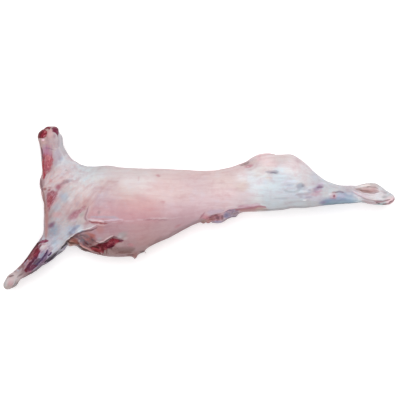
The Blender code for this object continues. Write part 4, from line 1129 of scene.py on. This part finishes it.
def flesh_material():
    """Moist fascia over fat and muscle, with bare meat where the mesh says so."""
    material = bpy.data.materials.new("flesh")
    n = Nodes(material)
    place = n.add("ShaderNodeTexCoord").outputs["Object"]
    shares = {name: n.attribute(name, "Fac") for name in WAYS}

    def along_the_limb(scale, stretch, detail):
        """Noise stretched along the trunk, and along each limb where it is one."""
        total = n.noise(place, scale, detail, 0.55, (1, stretch, stretch))
        for name, way in WAYS.items():
            limb = n.noise(place, scale, detail, 0.55, (1, stretch, stretch), way)
            total = n.math("ADD", total, n.math("MULTIPLY", n.math("SUBTRACT", limb, total), shares[name]))
        return total

    streaks = along_the_limb(11.0, 7.0, 4.0)
    fibres = along_the_limb(42.0, 9.0, 3.0)
    cloud = n.noise(place, 34.0, 4.0, 0.6)
    grit = n.noise(place, 330.0, 3.0, 0.65)

    contrast = n.math("ADD", 0.5, n.math("MULTIPLY", n.attribute("coarse", "Fac"), 0.5))

    def tinted(base, amount, tint):
        """The base colour times a tint, by amount times the local contrast."""
        return n.mix(n.math("MULTIPLY", amount, contrast), base, n.mix(1.0, base, (*tint, 1), "MULTIPLY"))

    skin = tinted(n.attribute("skin"), n.ramp(streaks, 0.42, 0.66, 0.0, 0.8), STREAKS)
    skin = tinted(skin, n.ramp(fibres, 0.52, 0.70, 0.0, 0.7), FIBRES)
    skin = tinted(skin, n.ramp(cloud, 0.50, 0.66, 0.0, 0.9), ROSY_CLOUDS)
    skin = tinted(skin, n.ramp(cloud, 0.34, 0.48, 0.9, 0.0), BLUE_CLOUDS)

    crumbs = n.noise(place, 110.0, 4.0, 0.65)
    strands = n.math("ADD", n.math("MULTIPLY", fibres, 0.6), n.math("MULTIPLY", crumbs, 0.4))
    dark = n.mix(1.0, n.attribute("meat"), DARK_STRANDS, "MULTIPLY")
    light = n.mix(1.0, n.attribute("meat"), PALE_STRANDS, "MULTIPLY")
    meat = n.mix(n.ramp(strands, 0.42, 0.60), dark, light)
    meat = n.mix(n.ramp(strands, 0.58, 0.68, 0.0, 0.2), meat, STRAND_GAPS)

    cover = n.attribute("bare", "Fac")
    edge = n.math("MULTIPLY", cover, n.math("SUBTRACT", 1.0, cover))
    torn = n.math("MULTIPLY", n.math("SUBTRACT", n.noise(place, 140.0, 3.0, 0.6), 0.5), 5.0)
    bare = n.ramp(n.math("ADD", cover, n.math("MULTIPLY", edge, torn)), 0.05, 0.95)
    colour = n.mix(bare, skin, meat)

    shine = n.ramp(n.add("ShaderNodeRGBToBW", {"Color": colour}).outputs["Val"], 0.02, 0.25, 0.08, 0.35)
    gloss = n.ramp(n.noise(place, 60.0, 3.0, 0.6), 0.35, 0.65, 0.40, 0.58)
    height = n.math("ADD", n.math("MULTIPLY", fibres, 0.6), n.math("MULTIPLY", grit, 0.25))
    bump = n.add("ShaderNodeBump", {"Strength": 0.35, "Distance": 0.0012, "Height": height}).outputs["Normal"]
    n.principled(
        {
            "Base Color": colour,
            "Roughness": gloss,
            "IOR": 1.4,
            "Specular IOR Level": shine,
            "Normal": bump,
            "Subsurface Weight": 0.08,
            "Subsurface Radius": (1.0, 0.45, 0.35),
            "Subsurface Scale": 0.0025,
        }
    )
    return material


def floor_material():
    """A white matt studio table that glows a little."""
    material = bpy.data.materials.new("studio_white")
    Nodes(material).principled(
        {
            "Base Color": (0.93, 0.93, 0.93, 1),
            "Roughness": 0.9,
            "Specular IOR Level": 0.1,
            "Emission Color": (1, 1, 1, 1),
            "Emission Strength": FLOOR_GLOW,
        }
    )
    return material


# ---------------------------------------------------------------- studio


# In metres, watts and degrees
FLOOR_HALF, FLOOR_GLOW, AMBIENT = 16.0, 0.35, 0.42
SOFTBOX_SIZE, SOFTBOX_POWER = 5.0, 400.0
SOFTBOX_PLACE, SOFTBOX_TILT = (-0.3, 1.2, 7.6), (-9, -2, 0)


def studio():
    """Floor, light and the camera straight above."""
    mesh = bpy.data.meshes.new("floor")
    corners = [(x * FLOOR_HALF, y * FLOOR_HALF, 0) for x, y in ((-1, -1), (1, -1), (1, 1), (-1, 1))]
    mesh.from_pydata(corners, [], [(0, 1, 2, 3)])
    mesh.materials.append(floor_material())
    floor = bpy.data.objects.new("floor", mesh)
    bpy.context.scene.collection.objects.link(floor)

    world = bpy.data.worlds.new("studio")
    world.use_nodes = True
    world.node_tree.nodes["Background"].inputs["Color"].default_value = (1.0, 1.0, 1.0, 1)
    world.node_tree.nodes["Background"].inputs["Strength"].default_value = AMBIENT
    bpy.context.scene.world = world

    lamp = bpy.data.lights.new("softbox", "AREA")
    lamp.shape, lamp.size, lamp.energy = "SQUARE", SOFTBOX_SIZE, SOFTBOX_POWER
    softbox = bpy.data.objects.new("softbox", lamp)
    softbox.location = SOFTBOX_PLACE
    softbox.rotation_euler = [math.radians(turn) for turn in SOFTBOX_TILT]
    bpy.context.scene.collection.objects.link(softbox)

    lens = bpy.data.cameras.new("camera")
    lens.sensor_width, lens.lens = SENSOR, LENS
    camera = bpy.data.objects.new("camera", lens)
    camera.location = CAMERA * MM
    bpy.context.scene.collection.objects.link(camera)
    bpy.context.scene.camera = camera
    bpy.context.scene.view_settings.view_transform = "Standard"


def build():
    """The carcass, in place of its CAD node."""
    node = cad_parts["carcass"]
    marks = Marks(Sight(node))
    piece = fine_copy(node)
    mesh = piece.data
    edges = values_of(mesh.edges, "vertices", 2, np.int32)
    set_points(mesh, smoothed(points_of(mesh), edges, SMOOTH_ROUNDS))
    surface = Surface(mesh, marks)
    carve(surface, marks)
    set_points(mesh, surface.points * MM)
    skin, meat, bare = painted(surface, marks)
    store_colour(mesh, "skin", skin)
    store_colour(mesh, "meat", meat)
    for name, share in {"bare": bare, "coarse": coarseness(surface), **surface.on}.items():
        store_share(mesh, name, share)
    mesh.materials.append(flesh_material())
    mesh.polygons.foreach_set("use_smooth", np.ones(len(mesh.polygons), bool))
    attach(piece, "root")
    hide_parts("carcass")


build()
studio()
